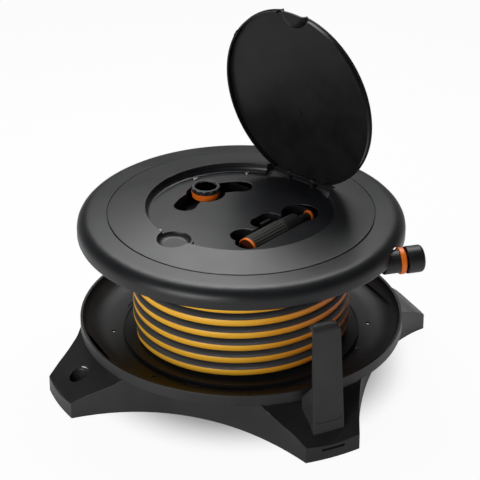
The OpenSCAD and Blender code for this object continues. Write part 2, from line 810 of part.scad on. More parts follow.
// Peg on the pocket's floor that the tap connector stands on
module tap_peg() {
    place_tap(pocket_z - 1) cylinder(r = tap_peg_r, h = 9);
}
tap_peg_r = 5.6;

// Saddles under the nozzle, which hold its centre line, and the low wall beside it
module nozzle_cradle() {
    wall_top = recess_floor_z - 1.5;
    color("#38383a") difference() {
        union() {
            place_nozzle(51) translate([nozzle_z - wall_top, 20.8, 0]) cube([wall_top - pocket_z, 3.4, 17.5]);
            for (t = [20, 80]) place_nozzle(t) translate([0, -9, 0]) cube([nozzle_lift, 18, 3]);
        }
        place_nozzle(-5) cylinder(r = nozzle_r + 0.3, h = nozzle_len + over);
    }
}

module hinge_lug(side) {
    y0 = side > 0 ? lug_in : -lug_out;
    w = lug_out - lug_in;
    h = hinge_z - recess_floor_z;
    translate([0, y0, 0]) rotate([-90, 0, 0]) cylinder(r = barrel_r + 0.2, h = w);
    translate([-barrel_r - 0.2, y0, -h]) cube([2 * barrel_r + 0.4, w, h]);
}

module recess_screws() {
    color("#8c8c8f") for (a = screw_angles) rotate([0, 0, a]) translate([screw_r, 0, 0]) {
        difference() {
            translate([0, 0, recess_floor_z - 1]) cylinder(d1 = 7, d2 = 6, h = 2);
            translate([-2.4, -0.4, recess_floor_z]) cube([4.8, 0.8, 3]);
            translate([-0.4, -2.4, recess_floor_z]) cube([0.8, 4.8, 3]);
        }
        translate([0, 0, recess_floor_z - 6]) cylinder(d = 2.6, h = 5.2);
    }
}

module hinge_pin() {
    color("#a9a9ab") place_hinge() rotate([90, 0, 0])
        cylinder(r = pin_r, h = 2 * lug_out + 1, center = true);
}

// Lid, drawn shut in the hinge's frame and then swung open
module lid_shut() {
    top = plate_z + lid_t;
    difference() {
        union() {
            intersection() {
                translate([0, 0, plate_z]) cylinder(r = lid_r, h = lid_t, $fn = 180);
                rotate([0, 0, hinge_angle]) translate([-2 * lid_r, -2 * lid_r, 0])
                    cube([2 * lid_r + hinge_r + lid_flat, 4 * lid_r, 4 * lid_r]);
            }
            difference() {
                ring(lid_lip_r, lid_lip_r - lid_lip_t, lip_depth + 0.5, plate_z - lip_depth, $fn = 180);
                rotate([0, 0, hinge_angle]) translate([60, -40, 0]) cube([100, 80, 300]);
                translate([dish_x, dish_y, 0]) cylinder(r = dish_r + cup_wall + 2, h = 300);
            }
            intersection() {
                dish_bowl(-cup_clear);
                translate([0, 0, 150]) cylinder(r = lid_r + tab_reach, h = plate_z + lid_t - 150);
            }
            place_hinge() rotate([90, 0, 0])
                cylinder(r = barrel_r, h = 2 * (lug_in - lug_gap), center = true);
            rotate([0, 0, hinge_angle]) translate([20, 0, plate_z - 0.6]) cylinder(r = 4.5, h = 2);
        }
        dish_bowl(-cup_clear - lid_t);
        place_hinge() for (s = [-1, 1]) translate([-4.6, s > 0 ? lug_in - lug_gap : -lug_out - lug_gap, -8])
            cube([30, lug_out - lug_in + 2 * lug_gap, 16]);
        place_hinge() rotate([90, 0, 0]) cylinder(r = pin_r + pin_play, h = 60, center = true);
    }
    difference() {
        for (a = latch_angles) rotate([0, 0, a]) translate([lid_lip_r - 3, -5, plate_z - lip_depth - 0.8])
            cube([3.4, 10, lip_depth + 1.2]);
        difference() {
            cylinder(r = lid_lip_r + 20, h = 300);
            translate([0, 0, -1]) cylinder(r = lid_lip_r + 0.5, h = 302);
        }
    }
}
latch_angles = [hinge_angle + 124, hinge_angle - 124];

module lid() {
    color("#262628") translate([hinge_r * cos(hinge_angle), hinge_r * sin(hinge_angle), hinge_z])
        rotate([0, 0, hinge_angle]) rotate([0, lid_open, 0]) rotate([0, 0, -hinge_angle])
        translate([-hinge_r * cos(hinge_angle), -hinge_r * sin(hinge_angle), -hinge_z]) lid_shut();
}

// Hose
module hose_core() {
    core_low = lower_flange_top + 0.2;
    color("#1f2022") difference() {
        ring(hose_core_r, core_r + 0.2, hose_core_top - core_low, core_low, $fn = 180);
        translate([0, 0, core_low - 1]) rotate([0, 0, winding_start - tuck_angle]) {
            rotate_extrude(angle = tuck_angle + 12) translate([hose_core_r - tuck_depth - 2, 0])
                square([tuck_depth + 10, hose_d + 2.4]);
            translate([hose_core_r - tuck_depth - 2, 3 - hose_d, 0])
                cube([tuck_depth + 14, hose_d - 2, hose_d + 2.4]);
        }
    }
}

function unit(v) = v / norm(v);

// The outer layer's centre line: tucked in under itself at the bottom, up the turns, then straight out
function layer_point(a) =
    let (r = a < winding_start
         ? wind_r - tuck_depth * (1 - cos(180 * (winding_start - a) / tuck_angle)) / 2 : wind_r,
         z = max(turn_z(a), turn_z(winding_start) - 0.5))
    [r * cos(a), r * sin(a), z];
step_a = 360 / rings_per_turn;
last_a = leave_angle + 360 * turns;
turn_points = [for (a = [winding_start - tuck_angle:step_a:last_a - step_a / 3]) layer_point(a)];
tuck_end = winding_start - tuck_angle;
tuck_point = layer_point(tuck_end) + hose_d * [sin(tuck_end), -cos(tuck_end), 0];
leave_point = [wind_r * cos(leave_angle), wind_r * sin(leave_angle), leave_z];
park_way = [cos(park_dir), sin(park_dir), 0];
tail_end = body_from + 8;
function tail_point(t) = leave_point + park_way * t
    + [0, 0, (park_z - leave_z) * (t < tail_end - 30 ? (1 - cos(180 * t / (tail_end - 30))) / 2 : 1)];
tail_points = [for (t = [0, 12, 36, 60, 84, 108, tail_end - 2 * hose_r, tail_end]) tail_point(t)];
way = concat([tuck_point], turn_points, tail_points);

function way_dir(p, i) = unit(p[min(i + 1, len(p) - 1)] - p[max(i - 1, 0)]);
function ring_at(p, i, r, n) =
    let (d = way_dir(p, i), side = unit(cross([0, 0, 1], d)), up = cross(d, side))
    [for (k = [0:n - 1]) p[i] + r * (cos(360 * k / n) * side + sin(360 * k / n) * up)];

module tube(p, r, n) {
    pts = [for (i = [0:len(p) - 1]) each ring_at(p, i, r, n)];
    walls = [for (i = [0:len(p) - 2], k = [0:n - 1]) let (m = (k + 1) % n)
        each [[i * n + k, i * n + m, (i + 1) * n + m], [i * n + k, (i + 1) * n + m, (i + 1) * n + k]]];
    last = (len(p) - 1) * n;
    caps = [for (k = [1:n - 2]) each [[0, k + 1, k], [last, last + k, last + k + 1]]];
    polyhedron(points = pts, faces = concat(walls, caps));
}

// Least distance between the turns, less the hose's diameter
function self_gap(p) = min([for (i = [0:len(p) - 1], j = [i + 12:1:min(i + 40, len(p) - 1)])
    norm(p[i] - p[j])]) - hose_d;

module hose_winding() {
    echo(str("Least gap of the wound hose to itself: ", self_gap(way), " mm"));
    color("#e8a12a") tube(way, hose_r, 6);
}

// Clip under the disc that holds the parked end
clip_t = 2.4;
clip_w = 14;
clip_at = 118;
module hose_clip() {
    lift = tail_point(clip_at)[2];
    color("#2f2f31") translate([leave_point[0], leave_point[1], lift]) rotate([0, 0, park_dir])
        translate([clip_at, 0, 0]) rotate([90, 0, 90]) difference() {
            union() {
                translate([0, 0, -clip_w / 2]) cylinder(r = hose_r + 0.4 + clip_t, h = clip_w);
                translate([-4, 0, -clip_w / 2]) cube([8, groove_z - skin - ledge_t - lift + 0.3, clip_w]);
            }
            translate([0, 0, -clip_w]) cylinder(r = hose_r + 0.4, h = 2 * clip_w);
            translate([-hose_r * 0.86, -30, -clip_w]) cube([hose_r * 1.72, 30, 2 * clip_w]);
        }
}

// Water way inside the drum
elbow_z = spindle_top + 2.6;
elbow_r = spindle_r + 1;
feed_z = elbow_z + 8;
barb_r = 6;
feed_angle = 250;
elbow_h = 15.4;
barb_reach = 36;
module swivel_elbow() {
    color("#4a4a4c") difference() {
        union() {
            translate([0, 0, elbow_z]) cylinder(r = elbow_r, h = elbow_h);
            translate([0, 0, feed_z]) rotate([0, 90, feed_angle]) cylinder(r = barb_r, h = barb_reach);
        }
        translate([0, 0, elbow_z - 1]) cylinder(r = spindle_r - 3.92, h = elbow_h - 1.8);
        translate([0, 0, feed_z]) rotate([0, 90, feed_angle]) cylinder(r = barb_r - 1.8, h = 2 * barb_reach);
    }
}

module swivel_seals() {
    color("#141414") for (z = [spindle_top + 4, spindle_top + 9])
        translate([0, 0, z]) rotate_extrude() translate([spindle_r - 4 - seal_t / 2 + 0.28, 0])
        circle(d = seal_t - 0.5, $fn = 32);
}

// Short length of hose from the swivel to the drum's wall
module feed_hose() {
    color("#1f2022") translate([0, 0, feed_z]) rotate([0, 90, feed_angle]) difference() {
        translate([0, 0, elbow_r + 1]) cylinder(r = hose_r, h = core_r - drum_wall - elbow_r - 1.4);
        translate([0, 0, 0]) cylinder(r = barb_r + 0.02, h = 80);
    }
}

module hose_clamps() {
    color("#b4b4b6") translate([0, 0, feed_z]) rotate([0, 90, feed_angle])
        ring(hose_r + 1, hose_r + 0.05, 6, elbow_r + 4);
}

// Coupling on the parked hose end
module coupling_body() {
    len1 = coupling_len;
    color("#2a2a2c") place_park(0) difference() {
        union() {
            translate([0, 0, body_from]) cylinder(r1 = coupling_r - 2.6, r2 = coupling_r, h = 4);
            translate([0, 0, body_from + 4]) cylinder(r = coupling_r, h = len1 - 4);
            translate([0, 0, body_from + len1 - 1]) cylinder(r = coupling_r - 3, h = ring_len + 1);
            translate([0, 0, body_from + len1 + ring_len - 1]) cylinder(r = coupling_r - 5, h = collar_len);
        }
        translate([0, 0, tail_end - 40]) cylinder(r = hose_r - 2.2, h = 100);
        translate([0, 0, tail_end - 30]) cylinder(r = hose_r + 0.05, h = 30);
    }
}

module coupling_ring() {
    color("#e05a1c") place_park(park_len - ring_len / 2) difference() {
        union() {
            cylinder(r = coupling_ring_r, h = ring_len - 1.5);
            translate([0, 0, ring_len - 1.5]) cylinder(r1 = coupling_ring_r, r2 = coupling_r, h = 1.5);
        }
        translate([0, 0, -1]) cylinder(r = coupling_r - 2.98, h = ring_len + 2);
    }
}

module coupling_collar() {
    z0 = park_len + ring_len / 2 + collar_gap;
    color("#2e2e30") place_park(z0) difference() {
        union() {
            cylinder(r = collar_r, h = collar_len - 4.5);
            translate([0, 0, collar_len - 4.5]) rotate_extrude() intersection() {
                square([collar_r, 4.5]);
                union() {
                    square([collar_r - 4.5, 4.5]);
                    translate([collar_r - 4.5, 0]) circle(r = 4.5);
                }
            }
        }
        translate([0, 0, -1]) cylinder(r = coupling_r - 4.9, h = collar_len + 2);
        translate([0, 0, collar_len - 6]) cylinder(r = coupling_r - 4.4, h = 10);
    }
}

// Tap connector: a nut over a spigot, standing in the curved pocket
spigot_r = 8.4;
tap_ring_h = 7;
tap_skirt_r = 15.2;
tap_flange_z = nut_top_z - nut_h;
module tap_spigot() {
    low = pocket_z + 0.02;
    color("#2a2a2c") difference() {
        union() {
            place_tap(low) cylinder(r = spigot_r, h = 9);
            place_tap(low + 4) cylinder(r = spigot_r + 2, h = tap_flange_z - low - 4 - tap_ring_h);
            place_tap(tap_flange_z - tap_ring_h - 0.5) cylinder(r = 11, h = tap_ring_h + 0.5);
            place_tap(tap_flange_z - eps) cylinder(r = nut_bore_r - 2, h = 3.4);
        }
        place_tap(0) cylinder(r = tap_peg_r + 0.06, h = 300);
    }
}

module tap_ring() {
    color("#e8791e") difference() {
        place_tap(tap_flange_z - 3) cylinder(r1 = nut_r - 1.4, r2 = nut_r - 0.6, h = tap_ring_h + 0.8);
        place_tap(tap_flange_z - 0.4) cylinder(r = tap_skirt_r + 0.3, h = over);
        place_tap(0) cylinder(r = 11.02, h = 300);
    }
}

module tap_washer() {
    color("#1a1a1a") place_tap(tap_flange_z + 3.4) ring(nut_bore_r - 2.1, 6, 2.2);
}

nut_band_h = 5.8;
module tap_nut() {
    grips = 12;
    color("#2c2c2e") difference() {
        union() {
            place_tap(tap_flange_z) cylinder(r = tap_skirt_r, h = nut_h - 1);
            place_tap(nut_top_z - nut_band_h) cylinder(r = nut_r - 1.1, h = nut_band_h);
            for (k = [0:grips - 1]) place_tap(nut_top_z - nut_band_h) rotate([0, 0, 360 * k / grips])
                translate([nut_r - 2.6, 0, 0.3]) cylinder(r = 2.6, h = nut_band_h - 1.1, $fn = 24);
        }
        place_tap(tap_flange_z + 3.6) cylinder(r = nut_bore_r, h = nut_h);
        place_tap(tap_flange_z - 1) cylinder(r = nut_bore_r - 1.94, h = nut_h + 2);
    }
    color("#2c2c2e") for (z = [6, 8.6]) place_tap(tap_flange_z + z) difference() {
        cylinder(r = nut_bore_r + 0.5, h = 0.9);
        translate([0, 0, -1]) cylinder(r = nut_bore_r - 1, h = 3);
    }
}

// Nozzle, lying in its pocket
stem_r = 9;
neck_r = 5.8;
jet_neck_r = 4.8;
jet_face_r = 11.8;
module nozzle_stem() {
    rear = sleeve_len + 5;
    color("#242426") place_nozzle() difference() {
        union() {
            translate([0, 0, 6]) cylinder(r = stem_r, h = rear);
            translate([0, 0, rear]) cylinder(r = nozzle_r - 0.4, h = 3);
            translate([0, 0, rear + 3]) cylinder(r1 = nozzle_r - 0.4, r2 = nozzle_r - 1.4, h = 22);
            translate([0, 0, rear + 25]) cylinder(r1 = nozzle_r - 1.4, r2 = neck_r, h = 4);
            translate([0, 0, rear + 28.9]) cylinder(r = neck_r, h = nozzle_len - rear - 28.9);
        }
        translate([0, 0, 5]) cylinder(r = jet_neck_r + 0.02, h = 9.2);
        translate([0, 0, 10]) cylinder(r = 4, h = nozzle_len);
        translate([0, 0, nozzle_len - 12]) cylinder(r = 4.6, h = 20);
    }
}

module nozzle_rear_ring() {
    color("#e0641c") place_nozzle(rear_ring_at) ring(7.4, neck_r + 0.02, 3.2);
}

module nozzle_sleeve() {
    ribs = 24;
    color("#4b4c48") place_nozzle(4) difference() {
        union() {
            cylinder(r = nozzle_r - 0.5, h = sleeve_len);
            for (k = [0:ribs - 1]) rotate([0, 0, 360 * k / ribs]) translate([nozzle_r - 0.9, 0, 3])
                cylinder(r = 0.9, h = sleeve_len - 6, $fn = 16);
        }
        translate([0, 0, -1]) cylinder(r = stem_r + 0.06, h = sleeve_len + 2);
    }
}

module nozzle_front_ring() {
    color("#ee8a22") place_nozzle(0.6) difference() {
        union() {
            cylinder(r1 = nozzle_r - 1.2, r2 = nozzle_r - 0.6, h = 0.6);
            translate([0, 0, 0.6]) cylinder(r = nozzle_r - 0.6, h = 2.8);
        }
        translate([0, 0, -1]) cylinder(r = jet_face_r + 0.3, h = 10);
    }
}

module nozzle_jet() {
    color("#8a3a12") place_nozzle(2) difference() {
        union() {
            cylinder(r = 6.4, h = 4);
            cylinder(r = jet_face_r, h = 1.8);
            translate([0, 0, 3.9]) cylinder(r = jet_neck_r, h = 8);
        }
        translate([0, 0, -1]) cylinder(r = 2, h = 14);
    }
}

base_tray();
guide_post();
spindle();
spindle_screws();
inlet_pipe();
inlet_nipple();
inlet_seal();
thrust_washer();
retaining_nut();
drum_core();
lower_flange();
upper_flange();
flange_step();
rim_ring();
top_cover();
cover_wall();
dish_shell();
recess_floor();
recess_wall();
dish_cup();
tap_tub();
nozzle_tub();
nozzle_cradle();
recess_screws();
hinge_pin();
hose_core();
hose_winding();
hose_clip();
swivel_elbow();
swivel_seals();
feed_hose();
hose_clamps();
coupling_body();
coupling_ring();
coupling_collar();
tap_spigot();
tap_ring();
tap_washer();
tap_nut();
nozzle_stem();
nozzle_sleeve();
nozzle_front_ring();
nozzle_rear_ring();
nozzle_jet();
lid();
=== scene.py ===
"""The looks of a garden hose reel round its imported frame: a four-legged tray, a wound hose, a lidded disc."""

import logging
import math
from dataclasses import dataclass, field
from enum import Enum
from typing import Any, Callable

import bpy
from mathutils import Matrix, Vector


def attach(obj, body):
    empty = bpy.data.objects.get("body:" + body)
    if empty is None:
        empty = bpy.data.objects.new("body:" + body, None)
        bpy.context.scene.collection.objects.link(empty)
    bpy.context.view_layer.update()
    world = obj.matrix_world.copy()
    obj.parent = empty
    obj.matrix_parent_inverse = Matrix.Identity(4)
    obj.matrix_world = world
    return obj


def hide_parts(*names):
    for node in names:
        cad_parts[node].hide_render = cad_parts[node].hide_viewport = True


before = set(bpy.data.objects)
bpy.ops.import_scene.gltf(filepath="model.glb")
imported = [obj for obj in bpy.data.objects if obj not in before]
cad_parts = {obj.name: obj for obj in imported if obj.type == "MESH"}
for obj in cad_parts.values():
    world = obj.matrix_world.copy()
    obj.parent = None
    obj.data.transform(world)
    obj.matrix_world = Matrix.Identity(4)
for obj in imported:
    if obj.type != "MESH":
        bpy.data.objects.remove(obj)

MM = 0.001
WELD_MM = 0.01           # corners nearer than this become one
LEVEL_DEG = 0.5          # faces that turn less than this become one
LOG = logging.getLogger("reel")
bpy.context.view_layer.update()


class Body(str, Enum):
    """The moving bodies of the frame."""

    BASE = "base"
    REEL = "reel"
    LID = "lid"
    COLLAR = "collar"
    NUT = "nut"
    SLEEVE = "sleeve"


class Slot(str, Enum):
    """The material slots of the record."""

    BASE = "base_plastic"
    POST = "post_plastic"
    DISC = "disc_plastic"
    COVER = "cover_plastic"
    RECESS = "recess_plastic"
    LID = "lid_plastic"
    INNER = "inner_plastic"
    COUPLING = "coupling_plastic"
    NUT = "nut_plastic"
    SEAL = "seal_rubber"
    WASHER = "washer_plastic"
    STEEL = "steel"
    HOSE_INNER = "hose_inner"
    HOSE_SKIN = "hose_skin"
    RING = "orange_plastic"
    JET = "jet_plastic"
    SLEEVE = "sleeve_rubber"


def linear(colour: str) -> tuple[float, float, float, float]:
    """Turns an sRGB hex value to linear light.

    Args:
        colour: The value, such as "#1d1d1f".

    Returns:
        Red, green, blue and an alpha of 1.
    """
    parts = [int(colour[i:i + 2], 16) / 255 for i in (1, 3, 5)]
    red, green, blue = (c / 12.92 if c <= 0.04045 else ((c + 0.055) / 1.055) ** 2.4 for c in parts)
    return red, green, blue, 1.0


def put(tree: bpy.types.NodeTree, kind: str, values: dict | None = None, links: dict | None = None,
        **settings: Any) -> bpy.types.Node:
    """Adds one node with its settings, its values and what feeds it.

    Args:
        tree: The node tree.
        kind: The node's type without its "ShaderNode" prefix.
        values: Values by input name or number.
        links: Output sockets by the input that they feed.
        settings: The node's own properties.

    Returns:
        The new node.
    """
    node = tree.nodes.new("ShaderNode" + kind)
    for key, value in settings.items():
        setattr(node, key, value)
    for key, value in (values or {}).items():
        node.inputs[key].default_value = value
    for key, socket in (links or {}).items():
        tree.links.new(socket, node.inputs[key])
    return node


def new_material(name: str) -> tuple[bpy.types.Material, bpy.types.NodeTree]:
    """Makes an empty node material.

    Args:
        name: The material's name.

    Returns:
        The material and its cleared node tree.
    """
    material = bpy.data.materials.new(name)
    material.use_nodes = True
    material.node_tree.nodes.clear()
    return material, material.node_tree


def reckon(tree: bpy.types.NodeTree, operation: str, first: bpy.types.NodeSocket | float,
           second: bpy.types.NodeSocket | float | None = None) -> bpy.types.NodeSocket:
    """Adds a sum on sockets or numbers to a material.

    Args:
        tree: The node tree.
        operation: The sum, as a Math node names it.
        first: A socket or a number.
        second: A socket or a number, where the sum has two.

    Returns:
        The socket with the result.
    """
    given = [(i, v) for i, v in enumerate((first, second)) if v is not None]
    numbers = {i: v for i, v in given if isinstance(v, (int, float))}
    sockets = {i: v for i, v in given if not isinstance(v, (int, float))}
    return put(tree, "Math", numbers, sockets, operation=operation).outputs[0]


@dataclass(frozen=True)
class MouldedPlastic:
    """Injection-moulded plastic: a spark-eroded mould leaves a fine even grain that softens its reflections.

    Attributes:
        name: The plastic and how it was made.
        colour: Its colour.
        dusted: Its colour where the skin is paler from handling and dust.
        roughness: Its mean roughness.
        uneven: How far the roughness wanders over the surface.
        grain_mm: Size of the mould's grain, drawn coarser than the real 0.1 mm so that it shows.
        grain_depth_mm: Depth of that grain.
        cloud_mm: Size of the slow changes in colour and gloss.
        cloud_span: Part of the cloud's range over which the colour goes from clean to dusted.
        sway_mm: Depth of the slow waviness that the mould's cooling leaves in a wide flat skin.
        sway_length_mm: Length of that waviness.
        ior: Index of refraction.
    """

    name: str
    colour: str
    dusted: str
    roughness: float
    uneven: float = 0.08
    grain_mm: float = 0.9
    grain_depth_mm: float = 0.012
    cloud_mm: float = 55.0
    cloud_span: tuple[float, float] = (0.36, 0.68)
    sway_mm: float = 0.0
    sway_length_mm: float = 60.0
    ior: float = 1.5

    def make(self) -> bpy.types.Material:
        """Builds the material.

        Returns:
            The node material.
        """
        material, tree = new_material(self.name)
        place = put(tree, "TexCoord").outputs["Object"]
        cloud = put(tree, "TexNoise", {"Scale": 1 / (self.cloud_mm * MM), "Detail": 5.0, "Roughness": 0.6},
                    {"Vector": place}).outputs["Fac"]
        grain = put(tree, "TexNoise", {"Scale": 1 / (self.grain_mm * MM), "Detail": 2.0},
                    {"Vector": place}).outputs["Fac"]
        clean, dusty = self.cloud_span
        spread = put(tree, "MapRange", {"From Min": clean, "From Max": dusty},
                     {"Value": cloud}).outputs["Result"]
        colour = put(tree, "Mix", {6: linear(self.colour), 7: linear(self.dusted)}, {0: spread},
                     data_type="RGBA").outputs[2]
        rough = put(tree, "MapRange",
                    {"To Min": self.roughness - self.uneven, "To Max": self.roughness + self.uneven},
                    {"Value": cloud}).outputs["Result"]
        bump = put(tree, "Bump", {"Strength": 0.6, "Distance": self.grain_depth_mm * MM},
                   {"Height": grain}).outputs["Normal"]
        if self.sway_mm:
            wave = put(tree, "TexNoise", {"Scale": 1 / (self.sway_length_mm * MM), "Detail": 1.0},
                       {"Vector": place}).outputs["Fac"]
            bump = put(tree, "Bump", {"Strength": 1.0, "Distance": self.sway_mm * MM},
                       {"Height": wave, "Normal": bump}).outputs["Normal"]
        surface = put(tree, "BsdfPrincipled", {"IOR": self.ior},
                      {"Base Color": colour, "Roughness": rough, "Normal": bump})
        put(tree, "OutputMaterial", links={"Surface": surface.outputs[0]})
        return material


@dataclass(frozen=True)
class BrushedSteel:
    """Drawn stainless steel: fine lines along the wire or round the head stretch its highlights.

    Attributes:
        name: The metal and how it was finished.
        colour: Its colour.
        roughness: Its roughness between the lines.
        smoother: How much smoother a line gets.
        rougher: How much rougher a line gets.
        line_mm: Spacing of the drawing lines.
        runs_per_m: How often a line changes along a metre.
        line_depth_mm: Depth of the lines.
    """

    name: str
    colour: str
    roughness: float = 0.3
    smoother: float = 0.08
    rougher: float = 0.1
    line_mm: float = 0.35
    runs_per_m: float = 60.0
    line_depth_mm: float = 0.01

    def make(self) -> bpy.types.Material:
        """Builds the material.

        Returns:
            The node material.
        """
        material, tree = new_material(self.name)
        place = put(tree, "TexCoord").outputs["Object"]
        across = 1 / (self.line_mm * MM)
        stretched = put(tree, "Mapping", {"Scale": (across, self.runs_per_m, across)},
                        {"Vector": place}).outputs["Vector"]
        lines = put(tree, "TexNoise", {"Scale": 1.0, "Detail": 3.0}, {"Vector": stretched}).outputs["Fac"]
        rough = put(tree, "MapRange",
                    {"To Min": self.roughness - self.smoother, "To Max": self.roughness + self.rougher},
                    {"Value": lines}).outputs["Result"]
        bump = put(tree, "Bump", {"Strength": 0.3, "Distance": self.line_depth_mm * MM},
                   {"Height": lines}).outputs["Normal"]
        surface = put(tree, "BsdfPrincipled", {"Base Color": linear(self.colour), "Metallic": 1.0},
                      {"Roughness": rough, "Normal": bump})
        put(tree, "OutputMaterial", links={"Surface": surface.outputs[0]})
        return material


@dataclass(frozen=True)
class KnittedHoseSkin:
    """Extruded hose skin over a knitted layer: fine cross ribs, and a smooth bright stripe on its outer side.

    Attributes:
        name: The skin and how it was made.
        black: Colour between the ribs.
        painted_rib_highlight: Painted highlight on the ribs, lighter than the colour between them.
        stripe: Colour of the stripe on its lit side.
        stripe_painted_shade: Darker, more orange colour of the stripe on the other side of the reel, which is
            painted shade.
        stripe_half: Half the stripe's width as a share of the hose's girth.
        stripe_edge: Half the width of its soft edge, as the same share.
        rib_mm: Spacing of the ribs.
        rib_depth_mm: Depth of the ribs.
        stitches: Stitches of the knit round the hose, which bend the ribs to zigzags.
        stitch_lean: How far a stitch leans along the hose, in radians of a rib.
        painted_shade_way: Direction over the floor, x and y, in which the painted shade darkens the stripe.
        painted_shade_m: How far that way the stripe reaches its painted-shade colour.
        rough_rib: Roughness of the ribs.
        rough_stripe: Roughness of the stripe.
        ior: Index of refraction.
    """

    name: str = "hose skin, extruded plasticised vinyl over knitted yarn"
    black: str = "#111112"
    painted_rib_highlight: str = "#545456"
    stripe: str = "#ffbe34"
    stripe_painted_shade: str = "#f87a1e"
    stripe_half: float = 0.094
    stripe_edge: float = 0.006
    rib_mm: float = 2.4
    rib_depth_mm: float = 0.35
    stitches: float = 13.0
    stitch_lean: float = 2.2
    painted_shade_way: tuple[float, float] = (0.9, -0.44)
    painted_shade_m: float = 0.14
    rough_rib: float = 0.42
    rough_stripe: float = 0.38
    ior: float = 1.52

    def make(self) -> bpy.types.Material:
        """Builds the material, which follows the hose's own map: u round it, v along it in metres.

        Returns:
            The node material.
        """
        material, tree = new_material(self.name)
        place = put(tree, "TexCoord")
        mapped = put(tree, "SeparateXYZ", links={0: place.outputs["UV"]})
        around, along = mapped.outputs[0], mapped.outputs[1]
        stripe = self.stripe_mask(tree, around)
        zigzag = reckon(tree, "PINGPONG", reckon(tree, "MULTIPLY", around, 2 * self.stitches), 1.0)
        phase = reckon(tree, "ADD", reckon(tree, "MULTIPLY", along, 2 * math.pi / (self.rib_mm * MM)),
                       reckon(tree, "MULTIPLY", zigzag, self.stitch_lean))
        rib = put(tree, "MapRange", {"From Min": -1.0, "From Max": 1.0},
                  {"Value": reckon(tree, "SINE", phase)}).outputs["Result"]
        # The rib crests are lightened with a painted highlight.
        body = put(tree, "Mix", {6: linear(self.black), 7: linear(self.painted_rib_highlight)}, {0: rib},
                   data_type="RGBA").outputs[2]
        bright = self.stripe_colour(tree, place.outputs["Object"])
        colour = put(tree, "Mix", links={0: stripe, 6: body, 7: bright}, data_type="RGBA").outputs[2]
        height = reckon(tree, "MULTIPLY", rib, reckon(tree, "SUBTRACT", 1.0, stripe))
        bump = put(tree, "Bump", {"Strength": 1.0, "Distance": self.rib_depth_mm * MM},
                   {"Height": height}).outputs["Normal"]
        rough = put(tree, "MapRange", {"To Min": self.rough_rib, "To Max": self.rough_stripe},
                    {"Value": stripe}).outputs["Result"]
        surface = put(tree, "BsdfPrincipled", {"IOR": self.ior},
                      {"Base Color": colour, "Roughness": rough, "Normal": bump})
        put(tree, "OutputMaterial", links={"Surface": surface.outputs[0]})
        return material

    def stripe_mask(self, tree: bpy.types.NodeTree, around: bpy.types.NodeSocket) -> bpy.types.NodeSocket:
        """Finds the stripe, whose middle is half way round the map.

        Args:
            tree: The node tree.
            around: The place round the hose, from 0 to 1.

        Returns:
            1 on the stripe and 0 beside it.
        """
        away = reckon(tree, "ABSOLUTE", reckon(tree, "SUBTRACT", around, 0.5))
        inner, outer = self.stripe_half - self.stripe_edge, self.stripe_half + self.stripe_edge
        return put(tree, "MapRange", {"From Min": inner, "From Max": outer, "To Min": 1.0, "To Max": 0.0},
                   {"Value": away}).outputs["Result"]

    def stripe_colour(self, tree: bpy.types.NodeTree, place: bpy.types.NodeSocket) -> bpy.types.NodeSocket:
        """Paints shade on the stripe, darkening it from its lit side to the other side of the reel.

        Args:
            tree: The node tree.
            place: The place on the object.

        Returns:
            The stripe's colour with its painted shade.
        """
        side = put(tree, "SeparateXYZ", links={0: place})
        way_x, way_y = self.painted_shade_way
        across = reckon(tree, "ADD", reckon(tree, "MULTIPLY", side.outputs[0], way_x),
                        reckon(tree, "MULTIPLY", side.outputs[1], way_y))
        # Painted shade: the stripe turns darker and more orange across the reel.
        shaded = put(tree, "MapRange", {"From Min": 0.0, "From Max": self.painted_shade_m},
                     {"Value": across}).outputs["Result"]
        return put(tree, "Mix", {6: linear(self.stripe), 7: linear(self.stripe_painted_shade)}, {0: shaded},
                   data_type="RGBA").outputs[2]


